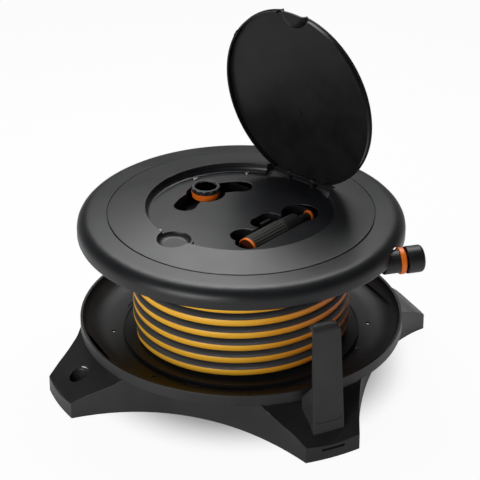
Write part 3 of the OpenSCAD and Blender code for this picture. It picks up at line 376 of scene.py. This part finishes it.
FINISHES = {
    # The base is the mattest of the wide pieces: a soft grey sheen, and dust on its tray.
    Slot.BASE: MouldedPlastic("base, spark-eroded black polypropylene", "#1f1f20", "#2b2b2c", 0.42,
                              sway_mm=0.1),
    # The post is a little paler and duller than the base that it is plugged into.
    Slot.POST: MouldedPlastic("post, spark-eroded black polypropylene", "#2d2d2e", "#38383a", 0.5, ior=1.48),
    # Rim and cover have the same grain, and sway slightly, so that their wide reflections aren't even.
    Slot.DISC: MouldedPlastic("disc rim, spark-eroded black polypropylene", "#17181a", "#1f2022", 0.4,
                              sway_mm=0.1, ior=1.47),
    Slot.COVER: MouldedPlastic("cover, spark-eroded black polypropylene", "#18191b", "#202123", 0.42,
                               sway_mm=0.12),
    # The insert comes from a smoother mould: satin, with the sink marks of its ribs as a slow sway.
    Slot.RECESS: MouldedPlastic("recess, satin black polypropylene", "#16171a", "#212225", 0.35,
                                grain_depth_mm=0.006, sway_mm=0.3),
    # The lid's inner face is polished, and shows cloudy smears from handling.
    Slot.LID: MouldedPlastic("lid, polished black polypropylene", "#151516", "#1e1e20", 0.34, uneven=0.12,
                             ior=1.3, grain_depth_mm=0.003, cloud_mm=38, sway_mm=0.1),
    # What is inside the drum is plain and matt.
    Slot.INNER: MouldedPlastic("drum, black polypropylene", "#18181a", "#202022", 0.5),
    # The fittings are denser plastics with crisper lights; the nut is worn paler by hands.
    Slot.COUPLING: MouldedPlastic("coupling, glass-filled black ABS", "#1b1b1d", "#252527", 0.42),
    Slot.NUT: MouldedPlastic("nut, glass-filled black ABS", "#232325", "#303032", 0.36),
    # Rubber takes nearly no light, and acetal is milky.
    Slot.SEAL: MouldedPlastic("seal, moulded nitrile rubber", "#0e0e0e", "#181818", 0.6, ior=1.52),
    Slot.WASHER: MouldedPlastic("washer, natural acetal", "#d5d0c0", "#dedacd", 0.4, ior=1.48),
    # Screws and clamps are dull grey more than mirror.
    Slot.STEEL: BrushedSteel("steel, drawn stainless", "#9a9a9c", 0.42),
    Slot.HOSE_INNER: MouldedPlastic("inner turns, extruded plasticised vinyl", "#151516", "#1e1e20", 0.45,
                                    ior=1.52),
    # The rings are coloured right through, glossy and nearly without grain, and the jet is darker.
    Slot.RING: MouldedPlastic("ring, orange ABS", "#ff741c", "#ff8a2c", 0.34, grain_depth_mm=0.004,
                              cloud_mm=12),
    Slot.JET: MouldedPlastic("jet, dark orange ABS", "#54230c", "#662c11", 0.4, cloud_mm=8),
    # The sleeve is a warm grey, blunt to the eye, with the coarsest grain.
    Slot.SLEEVE: MouldedPlastic("sleeve, moulded thermoplastic rubber", "#30312d", "#3d3e39", 0.66, ior=1.42,
                                grain_depth_mm=0.03, cloud_mm=20),
    Slot.HOSE_SKIN: KnittedHoseSkin(),
}


class Paint:
    """Keeps one material for each slot of the record."""

    def __init__(self) -> None:
        """Starts with no material made."""
        self.made: dict[Slot, bpy.types.Material] = {}

    def get(self, slot: Slot) -> bpy.types.Material:
        """Gives the slot's material, made on first use.

        Args:
            slot: The record's material slot.

        Returns:
            The material.
        """
        if slot not in self.made:
            self.made[slot] = FINISHES[slot].make()
        return self.made[slot]

    def dress(self, piece: bpy.types.Object, slot: Slot) -> None:
        """Puts the slot's material on the whole of a piece.

        Args:
            piece: A new piece or a CAD node's object.
            slot: The record's material slot.
        """
        material = self.get(slot)
        if not piece.material_slots:
            piece.data.materials.append(material)
        for place in piece.material_slots:
            place.material = material

    def dress_nodes(self, slots: dict[str, Slot]) -> None:
        """Dresses CAD nodes that are shown as they are.

        Args:
            slots: The record's material slot of each node.
        """
        for node, slot in slots.items():
            self.dress(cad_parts[node], slot)


PAINT = Paint()


def select_only(piece: bpy.types.Object) -> None:
    """Makes a piece the only selected and the active one.

    Args:
        piece: The piece.
    """
    bpy.ops.object.select_all(action="DESELECT")
    piece.select_set(True)
    bpy.context.view_layer.objects.active = piece


def apply_all(piece: bpy.types.Object) -> None:
    """Applies every modifier of a piece in order.

    Args:
        piece: The piece.
    """
    select_only(piece)
    for modifier in list(piece.modifiers):
        bpy.ops.object.modifier_apply(modifier=modifier.name)


def settle(piece: bpy.types.Object, name: str, body: Body, slot: Slot, *nodes: str,
           sharp: float = 32.0) -> bpy.types.Object:
    """Names, shades and dresses a finished piece, and ties it to its body and the nodes that it stands for.

    Args:
        piece: The finished mesh, in place.
        name: The piece's name.
        body: The body that it rides on.
        slot: The record's material slot.
        nodes: The CAD nodes that it replaces.
        sharp: Angle in degrees past which an edge stays sharp.

    Returns:
        The piece.
    """
    select_only(piece)
    bpy.ops.object.transform_apply(location=True, rotation=True, scale=True)
    bpy.ops.object.shade_smooth_by_angle(angle=math.radians(sharp))
    piece.name = name
    piece.data.name = name
    PAINT.dress(piece, slot)
    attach(piece, body.value)
    if nodes:
        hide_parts(*nodes)
    LOG.info("%s: %d faces on %s", name, len(piece.data.polygons), body.value)
    return piece


def mark_round(piece: bpy.types.Object, free: Callable[[Vector], bool], angle: float) -> None:
    """Marks the edges that are rounded, where a moulding is built from several nodes and its seams stay shut.

    Args:
        piece: The welded mesh.
        free: Whether a corner, in millimetres, lies on a free edge.
        angle: Angle in degrees past which an edge is rounded.
    """
    select_only(piece)
    bpy.ops.object.mode_set(mode="EDIT")
    bpy.ops.mesh.select_mode(type="EDGE")
    bpy.ops.mesh.select_all(action="DESELECT")
    bpy.ops.mesh.edges_select_sharp(sharpness=math.radians(angle))
    bpy.ops.object.mode_set(mode="OBJECT")
    mesh = piece.data
    weights = mesh.attributes.new("bevel_weight_edge", "FLOAT", "EDGE")
    for edge, weight in zip(mesh.edges, weights.data):
        weight.value = float(edge.select and all(free(mesh.vertices[i].co / MM) for i in edge.vertices))
    bpy.ops.object.mode_set(mode="EDIT")
    bpy.ops.mesh.select_mode(type="VERT")
    bpy.ops.object.mode_set(mode="OBJECT")


def rounded(node: str, body: Body, slot: Slot, width_mm: float, angle: float = 38.0, segments: int = 2,
            free: Callable[[Vector], bool] | None = None, flat_mm2: float = 0.0) -> bpy.types.Object:
    """Copies a CAD node, welds it and rounds its edges as a mould does.

    Args:
        node: The CAD node.
        body: The body that it rides on.
        slot: The record's material slot.
        width_mm: Width of the rounding.
        angle: Angle in degrees past which an edge is rounded.
        segments: Steps of the rounding.
        free: Whether a corner, in millimetres, lies on an edge that is rounded. All edges are, if left out.
        flat_mm2: Area past which a face is shaded flat, where that is more than 0.

    Returns:
        The piece that stands for the node.
    """
    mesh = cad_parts[node].data.copy()
    piece = bpy.data.objects.new(node + "_moulded", mesh)
    bpy.context.scene.collection.objects.link(piece)
    select_only(piece)
    bpy.ops.object.mode_set(mode="EDIT")
    bpy.ops.mesh.select_all(action="SELECT")
    bpy.ops.mesh.remove_doubles(threshold=WELD_MM * MM)
    bpy.ops.mesh.dissolve_limited(angle_limit=math.radians(LEVEL_DEG))
    bpy.ops.object.mode_set(mode="OBJECT")
    if mesh.has_custom_normals:
        bpy.ops.mesh.customdata_custom_splitnormals_clear()
    if free:
        mark_round(piece, free, angle)
    if width_mm:
        edge = piece.modifiers.new("edges", "BEVEL")
        edge.width = width_mm * MM
        edge.segments = segments
        edge.limit_method = "WEIGHT" if free else "ANGLE"
        edge.angle_limit = math.radians(angle)
        edge.use_clamp_overlap = False
        apply_all(piece)
    settle(piece, node + "_moulded", body, slot, node)
    if flat_mm2:
        for face in piece.data.polygons:
            if face.area > flat_mm2 * MM * MM:
                face.use_smooth = False
        return piece
    even = piece.modifiers.new("even shading", "WEIGHTED_NORMAL")
    even.keep_sharp = True
    even.weight = 100
    apply_all(piece)
    return piece


def lathe(name: str, profile: list[tuple[float, float]], segments: int) -> bpy.types.Object:
    """Turns a closed outline about the reel's axis, ring by ring.

    Args:
        name: The object's name.
        profile: Radius and height of each corner in millimetres, going round the section once.
        segments: Faces round the axis.

    Returns:
        The closed mesh.
    """
    radius, height = profile[0]
    bpy.ops.object.select_all(action="DESELECT")
    bpy.ops.mesh.primitive_circle_add(vertices=segments, radius=radius * MM, fill_type="NOTHING",
                                      location=(0, 0, height * MM))
    piece = bpy.context.active_object
    piece.name = name
    bpy.ops.object.mode_set(mode="EDIT")
    bpy.ops.mesh.select_all(action="SELECT")
    for (r0, z0), (r1, z1) in zip(profile, profile[1:] + profile[:1]):
        bpy.ops.mesh.extrude_region_move(TRANSFORM_OT_translate={"value": (0, 0, (z1 - z0) * MM)})
        bpy.ops.transform.resize(value=(r1 / r0, r1 / r0, 1), center_override=(0, 0, z1 * MM))
    bpy.ops.mesh.select_all(action="SELECT")
    bpy.ops.mesh.remove_doubles(threshold=WELD_MM * MM)
    bpy.ops.mesh.normals_make_consistent(inside=False)
    bpy.ops.object.mode_set(mode="OBJECT")
    return piece


@dataclass
class BaseUnit:
    """The tray on four legs, with its post, its spindle and the water inlet. Sizes are in millimetres.

    Attributes:
        tray_edge: Width of the rounding of the tray and its legs.
        post_edge: Width of the rounding of the post.
        plain: The nodes that are shown as they are, with their material slots.
    """

    tray_edge: float = 0.9
    post_edge: float = 0.6
    plain: dict[str, Slot] = field(default_factory=lambda: {
        "spindle": Slot.INNER, "spindle_screws": Slot.STEEL, "inlet_pipe": Slot.INNER,
        "inlet_nipple": Slot.COUPLING, "inlet_seal": Slot.SEAL, "thrust_washer": Slot.WASHER,
        "retaining_nut": Slot.STEEL})

    def build(self) -> None:
        """Rounds the two mouldings that show and dresses the rest."""
        rounded("base_tray", Body.BASE, Slot.BASE, self.tray_edge)
        rounded("guide_post", Body.BASE, Slot.POST, self.post_edge)
        PAINT.dress_nodes(self.plain)


@dataclass
class Drum:
    """The drum under the disc, its flanges and the water way inside it.

    Attributes:
        plain: The nodes that are shown as they are, with their material slots.
    """

    plain: dict[str, Slot] = field(default_factory=lambda: {
        "drum_core": Slot.INNER, "lower_flange": Slot.INNER, "upper_flange": Slot.INNER,
        "flange_step": Slot.INNER, "swivel_elbow": Slot.INNER, "swivel_seals": Slot.SEAL,
        "feed_hose": Slot.HOSE_INNER, "hose_clamps": Slot.STEEL, "hose_clip": Slot.INNER})

    def build(self) -> None:
        """Dresses the drum's own nodes."""
        PAINT.dress_nodes(self.plain)


@dataclass
class HoseRoute:
    """The wound hose's centre line, with the values of the part's source, in millimetres and degrees.

    Attributes:
        diameter: Outside diameter of the hose.
        pitch: Rise of one turn.
        radius: Radius of the outer turns.
        first_z: Height of the first turn where it faces the front.
        front: Angle of that place round the axis.
        start: Angle where the outer turns begin.
        tuck: Angle over which the hose tucks in under them.
        tuck_gap: Gap that the tucked stretch leaves to the turns over it.
        bed: How far below the first turn the tucked stretch lies at most.
        leave: Angle where the hose leaves the turns.
        turns: Number of outer turns.
        park_z: Height of the parked end.
        tail: Length of the parked end.
        tail_level: Length of its last, level stretch.
        tail_steps: Steps of the parked end.
        rings_per_turn: Steps of a turn.
    """

    diameter: float = 16.4
    pitch: float = 16.9
    radius: float = 126.0
    first_z: float = 62.5
    front: float = -116.0
    start: float = -183.0
    tuck: float = 42.0
    tuck_gap: float = 0.6
    bed: float = 0.5
    leave: float = -100.8
    turns: int = 7
    park_z: float = 184.0
    tail: float = 144.0
    tail_level: float = 30.0
    tail_steps: int = 26
    rings_per_turn: int = 72

    def height(self, angle: float) -> float:
        """Height of the centre line at an angle round the axis."""
        low = self.first_z + self.pitch * (self.start - self.front) / 360
        return max(low + self.pitch * (angle - self.start) / 360, low - self.bed)

    def wound(self, angle: float) -> Vector:
        """Finds a point on the turns, or on the stretch that tucks in under them.

        Args:
            angle: Its angle round the axis.

        Returns:
            The point in millimetres.
        """
        r = self.radius
        if angle < self.start:
            depth = self.diameter + self.tuck_gap
            r -= depth * (1 - math.cos(math.pi * (self.start - angle) / self.tuck)) / 2
        turn = math.radians(angle)
        return Vector((r * math.cos(turn), r * math.sin(turn), self.height(angle)))

    def points(self) -> list[Vector]:
        """The whole centre line from inside the drum to the coupling.

        Returns:
            Points in metres.
        """
        low = self.start - self.tuck
        last = self.leave + 360 * self.turns
        count = round((last - low) / 360 * self.rings_per_turn)
        turned = [self.wound(low + (last - low) * i / count) for i in range(count)]
        end = math.radians(low)
        inward = Vector((math.sin(end), -math.cos(end), 0))
        tucked = [turned[0] + self.diameter * k / 3 * inward for k in (3, 2, 1)]
        leave = math.radians(self.leave)
        away = Vector((-math.sin(leave), math.cos(leave), 0))
        first = Vector((self.radius * math.cos(leave), self.radius * math.sin(leave), self.height(last)))
        rise = self.park_z - self.height(last)
        rising = self.tail - self.tail_level
        tail = []
        for t in [i * self.tail / self.tail_steps for i in range(self.tail_steps + 1)]:
            lift = (1 - math.cos(math.pi * t / rising)) / 2 if t < rising else 1
            tail.append(first + away * t + Vector((0, 0, rise * lift)))
        return [p * MM for p in tucked + turned + tail]


@dataclass
class Hose:
    """The hose: a striped, ribbed tube on its route, and the turns under the ones that show.

    Attributes:
        route: Its centre line.
        corners: Corners round the hose, as angles in degrees from the stripe's middle.
        stripe_side: Angle in degrees from the stripe's middle to the edge of its raised band.
        stripe_proud: How far that band stands proud in millimetres.
        stripe_turn: How far the stripe is turned up on the top turn, in degrees.
        stripe_sink: How much lower it has turned on the bottom turn, in degrees.
        sways: How the stripe wanders along the hose: each sway's size in degrees, radians a metre and phase.
        core_inside: Inner radius of the inner turns, in millimetres like the lengths below.
        core_low: Their lowest height.
        core_top: Their highest height.
        core_radius: Their outer radius.
        core_groove: How deep the groove between two turns is.
        foot_radius: Outer radius of their foot, beside which the hose tucks in.
        foot_top: Height where the foot ends.
        arc_steps: Steps of a turn's round side.
        arc_fill: Half a turn's round side as a share of its height, just short of its neighbour's.
        core_faces: Faces round the axis.
    """

    route: HoseRoute = field(default_factory=HoseRoute)
    corners: tuple[int, ...] = (-180, -158, -136, -114, -94, -76, -60, -46, -38, -34, -22, -11,
                                0, 11, 22, 34, 38, 46, 60, 76, 94, 114, 136, 158)
    stripe_side: float = 34.0
    stripe_proud: float = 0.15
    stripe_turn: float = 1.0
    stripe_sink: float = 20.0
    sways: tuple[tuple[float, float, float], ...] = ((4.0, 1.9, 0.0), (3.0, 4.7, 1.0))
    core_inside: float = 58.3
    core_low: float = 50.65
    core_top: float = 178.55
    core_radius: float = 116.2
    core_groove: float = 7.4
    foot_radius: float = 97.0
    foot_top: float = 71.0
    arc_steps: int = 6
    arc_fill: float = 0.499
    core_faces: int = 96

    def section(self) -> list[tuple[float, float]]:
        """Gives the hose's cross-section.

        Returns:
            Angle from the stripe's middle in degrees and radius in millimetres of each corner.
        """
        full = self.route.diameter / 2
        return [(a, full if abs(a) <= self.stripe_side else full - self.stripe_proud) for a in self.corners]

    def stripe_angle(self, z: float, reach: float) -> float:
        """Finds where the stripe has turned to.

        Args:
            z: Height of the centre line in metres.
            reach: Length of hose up to there in metres.

        Returns:
            The angle of its middle above the level in degrees.
        """
        under = (self.route.park_z * MM - z) / ((self.route.park_z - self.route.first_z) * MM)
        wander = sum(size * math.sin(reach * rate + phase) for size, rate, phase in self.sways)
        return self.stripe_turn - self.stripe_sink * under + wander

    def tube(self, line: list[Vector]) -> bpy.types.Object:
        """Builds the hose's mesh with a map whose u runs round it and v along it in metres.

        Args:
            line: Its centre line in metres.

        Returns:
            The closed tube.
        """
        section = self.section()
        count = len(section)
        corners, reach = [], [0.0]
        for i, point in enumerate(line):
            way = (line[min(i + 1, len(line) - 1)] - line[max(i - 1, 0)]).normalized()
            outward = way.cross(Vector((0, 0, 1))).normalized()
            upward = outward.cross(way)
            if i:
                reach.append(reach[-1] + (point - line[i - 1]).length)
            turn = self.stripe_angle(point.z, reach[-1])
            for angle, radius in section:
                a = math.radians(angle + turn)
                corners.append(point + radius * MM * (math.cos(a) * outward + math.sin(a) * upward))
        faces = []
        for i in range(len(line) - 1):
            near, far = i * count, (i + 1) * count
            for k in range(count):
                after = (k + 1) % count
                faces.append((near + k, near + after, far + after, far + k))
        last = (len(line) - 1) * count
        faces += [tuple(reversed(range(count))), tuple(range(last, last + count))]
        mesh = bpy.data.meshes.new("hose")
        mesh.from_pydata([tuple(c) for c in corners], [], faces)
        self.map_tube(mesh, [(a + 180) / 360 for a, _ in section], reach)
        piece = bpy.data.objects.new("hose", mesh)
        bpy.context.scene.collection.objects.link(piece)
        return piece

    @staticmethod
    def map_tube(mesh: bpy.types.Mesh, around: list[float], reach: list[float]) -> None:
        """Gives the tube its map, which closes at the corner opposite the stripe.

        Args:
            mesh: The tube's mesh, ring after ring.
            around: Place of each corner round the hose, from 0 to 1.
            reach: Length of hose up to each ring in metres.
        """
        count = len(around)
        layer = mesh.uv_layers.new(name="along")
        for face in mesh.polygons:
            side = len(face.vertices) == 4
            for spot, (loop, vertex) in enumerate(zip(face.loop_indices, face.vertices)):
                ring, k = divmod(vertex, count)
                closing = k == 0 and spot in (1, 2)      # where a ring's last face meets its first
                layer.data[loop].uv = ((1.0 if closing else around[k]) if side else 0.0, reach[ring])

    def inner_turns(self) -> bpy.types.Object:
        """Builds the turns under the outer ones as rounded rings over a narrow foot, where the hose tucks in.

        Returns:
            The closed mesh.
        """
        turns = math.ceil((self.core_top - self.foot_top) / self.route.pitch)
        step = (self.core_top - self.foot_top) / turns
        profile = [(self.core_inside, self.core_low), (self.foot_radius, self.core_low),
                   (self.foot_radius, self.foot_top)]
        for k in range(turns):
            for j in range(self.arc_steps + 1):
                a = math.pi * (j / self.arc_steps - 0.5)
                profile.append((self.core_radius - self.core_groove * (1 - math.cos(a)),
                                self.foot_top + step * (k + 0.5 + self.arc_fill * math.sin(a))))
        profile.append((self.core_inside, self.core_top))
        return lathe("inner_turns", profile, self.core_faces)

    def build(self) -> None:
        line = self.route.points()
        hose = settle(self.tube(line), "hose", Body.REEL, Slot.HOSE_SKIN, "hose_winding", sharp=60)
        settle(self.inner_turns(), "inner_turns", Body.REEL, Slot.HOSE_INNER, "hose_core")


@dataclass
class Disc:
    """The disc on the drum: rim, cover, recess with its pockets, and the lid. Sizes are in millimetres.

    The cover and the recess are one moulding each, built from several nodes, so only free edges are rounded.

    Attributes:
        cover_z: Height of the cover's upper face at the recess.
        cover_slope: Its fall for each millimetre outwards.
        recess_r: Radius of the recess.
        floor_z: Height of the recess's floor.
        lid_r: Radius of the lid.
        lid_open: Angle in degrees at which the frame's lid stands open.
        hinge: The hinge pin's reach, its angle round the axis in degrees, and its height.
        rim_edge, cover_edge, floor_edge, lid_edge: Width of each piece's rounding.
        lid_flat: Area past which a face of the lid is shaded flat, in square millimetres.
        cover_near, floor_near, lid_near: How near to the face or the edge a corner counts as on it.
        floor_inside: How far inside the recess a corner of the floor has to lie.
        seams: The nodes whose edges all stay sharp, with their material slots.
        metal: The metal nodes, shown as they are.
    """

    cover_z: float = 218.5
    cover_slope: float = 0.1634
    recess_r: float = 116.5
    floor_z: float = 207.5
    lid_r: float = 115.5
    lid_open: float = 85.6
    hinge: tuple[float, float, float] = (110.0, 21.2, 215.2)
    rim_edge: float = 0.5
    cover_edge: float = 0.6
    floor_edge: float = 0.7
    lid_edge: float = 0.4
    lid_flat: float = 150.0
    cover_near: float = 0.3
    floor_near: float = 0.1
    floor_inside: float = 0.4
    lid_near: float = 0.25
    seams: dict[str, Slot] = field(default_factory=lambda: {
        "cover_wall": Slot.COVER, "dish_shell": Slot.COVER, "dish_cup": Slot.COVER,
        "recess_wall": Slot.RECESS, "tap_tub": Slot.RECESS, "nozzle_tub": Slot.RECESS,
        "nozzle_cradle": Slot.RECESS})
    metal: dict[str, Slot] = field(default_factory=lambda: {
        "recess_screws": Slot.STEEL, "hinge_pin": Slot.STEEL})

    def on_cover(self, corner: Vector) -> bool:
        """Whether a corner lies on the cover's upper face."""
        reach = math.hypot(corner.x, corner.y)
        return corner.z > self.cover_z - self.cover_slope * (reach - self.recess_r) - self.cover_near

    def on_floor(self, corner: Vector) -> bool:
        """Whether a corner lies on the recess floor's upper face, inside its outer edge."""
        inside = math.hypot(corner.x, corner.y) < self.recess_r - self.floor_inside
        return inside and corner.z > self.floor_z - self.floor_near

    def on_lid_edge(self, corner: Vector) -> bool:
        """Finds out whether a corner lies on the lid's round edge, by swinging it shut about the hinge.

        Args:
            corner: The corner, with the lid open.

        Returns:
            Whether it is on the edge.
        """
        reach, angle, height = self.hinge
        turn = Matrix.Rotation(math.radians(angle), 3, "Z")
        swing = turn @ Matrix.Rotation(math.radians(-self.lid_open), 3, "Y") @ turn.transposed()
        pin = turn @ Vector((reach, 0, 0)) + Vector((0, 0, height))
        shut = swing @ (corner - pin) + pin
        return abs(math.hypot(shut.x, shut.y) - self.lid_r) < self.lid_near

    def build(self) -> None:
        """Rounds the disc's mouldings and dresses the small metal parts."""
        rounded("rim_ring", Body.REEL, Slot.DISC, self.rim_edge)
        rounded("top_cover", Body.REEL, Slot.COVER, self.cover_edge, free=self.on_cover)
        rounded("recess_floor", Body.REEL, Slot.RECESS, self.floor_edge, free=self.on_floor)
        for node, slot in self.seams.items():
            rounded(node, Body.REEL, slot, 0)
        rounded("lid", Body.LID, Slot.LID, self.lid_edge, free=self.on_lid_edge, flat_mm2=self.lid_flat)
        PAINT.dress_nodes(self.metal)


@dataclass
class Fittings:
    """The coupling on the parked end, and the tap connector and nozzle in their pockets.

    Attributes:
        mouldings: Each moulding's body, material slot and width of rounding in millimetres.
        plain: The nodes that are shown as they are.
    """

    mouldings: dict[str, tuple[Body, Slot, float]] = field(default_factory=lambda: {
        "coupling_body": (Body.REEL, Slot.COUPLING, 0.4),
        "coupling_ring": (Body.REEL, Slot.RING, 0.5),
        "coupling_collar": (Body.COLLAR, Slot.COUPLING, 0.5),
        "tap_spigot": (Body.REEL, Slot.COUPLING, 0.4),
        "tap_ring": (Body.REEL, Slot.RING, 0.6),
        "tap_nut": (Body.NUT, Slot.NUT, 0.5),
        "nozzle_stem": (Body.REEL, Slot.COUPLING, 0.5),
        "nozzle_sleeve": (Body.SLEEVE, Slot.SLEEVE, 0.35),
        "nozzle_front_ring": (Body.REEL, Slot.RING, 0.2),
        "nozzle_rear_ring": (Body.REEL, Slot.RING, 0.4)})
    plain: dict[str, Slot] = field(default_factory=lambda: {"tap_washer": Slot.SEAL, "nozzle_jet": Slot.JET})

    def build(self) -> None:
        """Rounds the fittings and dresses the tap's washer and the jet."""
        for node, (body, slot, width) in self.mouldings.items():
            rounded(node, body, slot, width)
        PAINT.dress_nodes(self.plain)


@dataclass(frozen=True)
class Lamp:
    """A soft rectangular lamp that faces the reel and isn't seen itself.

    Attributes:
        name: Its name.
        watts: Its power.
        size: Its width and height in metres.
        azimuth: Its direction from the reel, turned from the camera's own, in degrees.
        elevation: Its height above the horizon in degrees.
        distance: Its distance from the reel in metres.
    """

    name: str
    watts: float
    size: tuple[float, float]
    azimuth: float
    elevation: float
    distance: float


@dataclass(frozen=True)
class Studio:
    """The camera at the photograph's angle, a white floor, and soft lamps.

    Attributes:
        distance: Distance of the camera in metres.
        aim_height: Height that it looks at in metres.
        azimuth: Its direction from the reel in degrees.
        elevation: Its height above the horizon in degrees.
        lens: Its focal length in millimetres.
        sensor: Width of its sensor in millimetres.
        shift_x: Its sideways shift.
        floor_size: Width of the floor in metres.
        paper: Colour of the floor.
        glow_from: Distance from the axis in metres where the floor begins to be seen as plain white.
        glow_full: Distance where it is.
        glow: How much of that white is mixed in.
        glow_mirrored: Share of it that glossy surfaces see.
        wall: Strength that glossy and clear surfaces see at the horizon.
        wall_top: Height, from 0 to 1, where that ends.
        sky_low: Strength of the soft light from the horizon.
        sky_high: Strength of it from above.
        sky_top: Height, from 0 to 1, where it has fallen to that.
        lamp_aim: Height that the lamps look at in metres.
        lamps: The lamps.
    """

    distance: float = 2.6182
    aim_height: float = 0.1696
    azimuth: float = -26.0
    elevation: float = 28.05
    lens: float = 160.48
    sensor: float = 36.0
    shift_x: float = -0.0025
    floor_size: float = 14.0
    paper: str = "#f2f2f2"
    glow_from: float = 0.12
    glow_full: float = 0.22
    glow: float = 0.95
    glow_mirrored: float = 0.3
    wall: float = 0.2
    wall_top: float = 0.25
    sky_low: float = 0.15
    sky_high: float = 0.04
    sky_top: float = 0.45
    lamp_aim: float = 0.18
    lamps: tuple[Lamp, ...] = (Lamp("back panel", 3.4, (0.9, 0.5), 185, 46, 1.05),
                               Lamp("high panel", 9.2, (0.9, 0.5), 180, 64, 1.05),
                               Lamp("key", 27, (1.3, 1.0), -34, 14, 2.2))

    @staticmethod
    def stand(item: bpy.types.Object, azimuth: float, elevation: float, distance: float, aim: float) -> None:
        """Stands a camera or a lamp off the reel and turns it to face the axis.

        Args:
            item: The camera or lamp.
            azimuth: Its direction from the reel in degrees.
            elevation: Its height above the horizon in degrees.
            distance: Its distance in metres.
            aim: Height that it looks at in metres.
        """
        low = math.radians(elevation)
        back = Matrix.Rotation(math.radians(azimuth), 3, "Z") @ Vector((0, -math.cos(low), math.sin(low)))
        item.location = Vector((0, 0, aim)) + back * distance
        item.rotation_euler = (-back).to_track_quat("-Z", "Y").to_euler()
        bpy.context.scene.collection.objects.link(item)

    def make_camera(self) -> None:
        """Makes the camera."""
        data = bpy.data.cameras.new("camera")
        data.sensor_width = self.sensor
        data.lens = self.lens
        data.shift_x = self.shift_x
        data.clip_end = 50
        camera = bpy.data.objects.new("camera", data)
        self.stand(camera, self.azimuth, self.elevation, self.distance, self.aim_height)
        bpy.context.scene.camera = camera

    def make_lamps(self) -> None:
        """Makes the lamps."""
        for lamp in self.lamps:
            data = bpy.data.lights.new(lamp.name, "AREA")
            data.shape = "RECTANGLE"
            data.size, data.size_y = lamp.size
            data.energy = lamp.watts
            item = bpy.data.objects.new(lamp.name, data)
            self.stand(item, self.azimuth + lamp.azimuth, lamp.elevation, lamp.distance, self.lamp_aim)
            item.visible_camera = False

    def make_floor(self) -> None:
        """Makes the pale floor, which shows the object's shadow softly."""
        bpy.ops.object.select_all(action="DESELECT")
        bpy.ops.mesh.primitive_plane_add(size=self.floor_size, location=(0, 0, 0))
        floor = bpy.context.active_object
        floor.name = "floor"
        material, tree = new_material("floor, matt white paper")
        paper = put(tree, "BsdfDiffuse", {"Color": linear(self.paper)})
        glow = put(tree, "Emission", {"Color": (1, 1, 1, 1), "Strength": 1.0})
        seen = put(tree, "LightPath")
        place = put(tree, "TexCoord").outputs["Object"]
        reach = put(tree, "VectorMath", links={0: place}, operation="LENGTH").outputs["Value"]
        outside = put(tree, "MapRange",
                      {"From Min": self.glow_from, "From Max": self.glow_full, "To Max": self.glow},
                      {"Value": reach}, interpolation_type="SMOOTHSTEP").outputs["Result"]
        mirrored = reckon(tree, "MULTIPLY", seen.outputs["Is Glossy Ray"], self.glow_mirrored)
        white = reckon(tree, "MAXIMUM", seen.outputs["Is Camera Ray"], mirrored)
        share = reckon(tree, "MULTIPLY", white, outside)
        both = put(tree, "MixShader", links={0: share, 1: paper.outputs[0], 2: glow.outputs[0]})
        put(tree, "OutputMaterial", links={"Surface": both.outputs[0]})
        floor.data.materials.append(material)

    def make_world(self) -> None:
        """Makes the white surroundings: full for what is seen, softer for the light that they give."""
        world = bpy.data.worlds.new("surroundings")
        bpy.context.scene.world = world
        world.use_nodes = True
        tree = world.node_tree
        tree.nodes.clear()
        seen = put(tree, "LightPath")
        height = put(tree, "SeparateXYZ", links={0: put(tree, "TexCoord").outputs["Generated"]}).outputs[2]
        wall = put(tree, "MapRange",
                   {"From Min": 0.0, "From Max": self.wall_top, "To Min": self.wall, "To Max": 0.0},
                   {"Value": height}, interpolation_type="SMOOTHSTEP").outputs["Result"]
        sky = put(tree, "MapRange", {"From Min": 0.0, "From Max": self.sky_top,
                                     "To Min": self.sky_low, "To Max": self.sky_high},
                  {"Value": height}, interpolation_type="SMOOTHSTEP").outputs["Result"]
        mirrored = reckon(tree, "MULTIPLY", wall, reckon(tree, "MAXIMUM", seen.outputs["Is Glossy Ray"],
                                                         seen.outputs["Is Transmission Ray"]))
        share = reckon(tree, "MAXIMUM", seen.outputs["Is Camera Ray"], mirrored)
        soft = put(tree, "Background", {"Color": (1, 1, 1, 1)}, {"Strength": sky})
        full = put(tree, "Background", {"Color": (1, 1, 1, 1), "Strength": 1.0})
        both = put(tree, "MixShader", links={0: share, 1: soft.outputs[0], 2: full.outputs[0]})
        put(tree, "OutputWorld", links={"Surface": both.outputs[0]})

    def build(self) -> None:
        """Makes the whole studio."""
        self.make_camera()
        self.make_floor()
        self.make_world()
        self.make_lamps()
        bpy.context.scene.view_settings.view_transform = "Standard"


def main() -> None:
    """Builds the studio and the reel's sub-assemblies."""
    logging.basicConfig(level=logging.INFO, format="%(name)s: %(message)s")
    Studio().build()
    for unit in (Fittings(), Hose(), Drum(), BaseUnit(), Disc()):
        LOG.info("building %s", type(unit).__name__)
        unit.build()


if __name__ == "__main__":
    main()
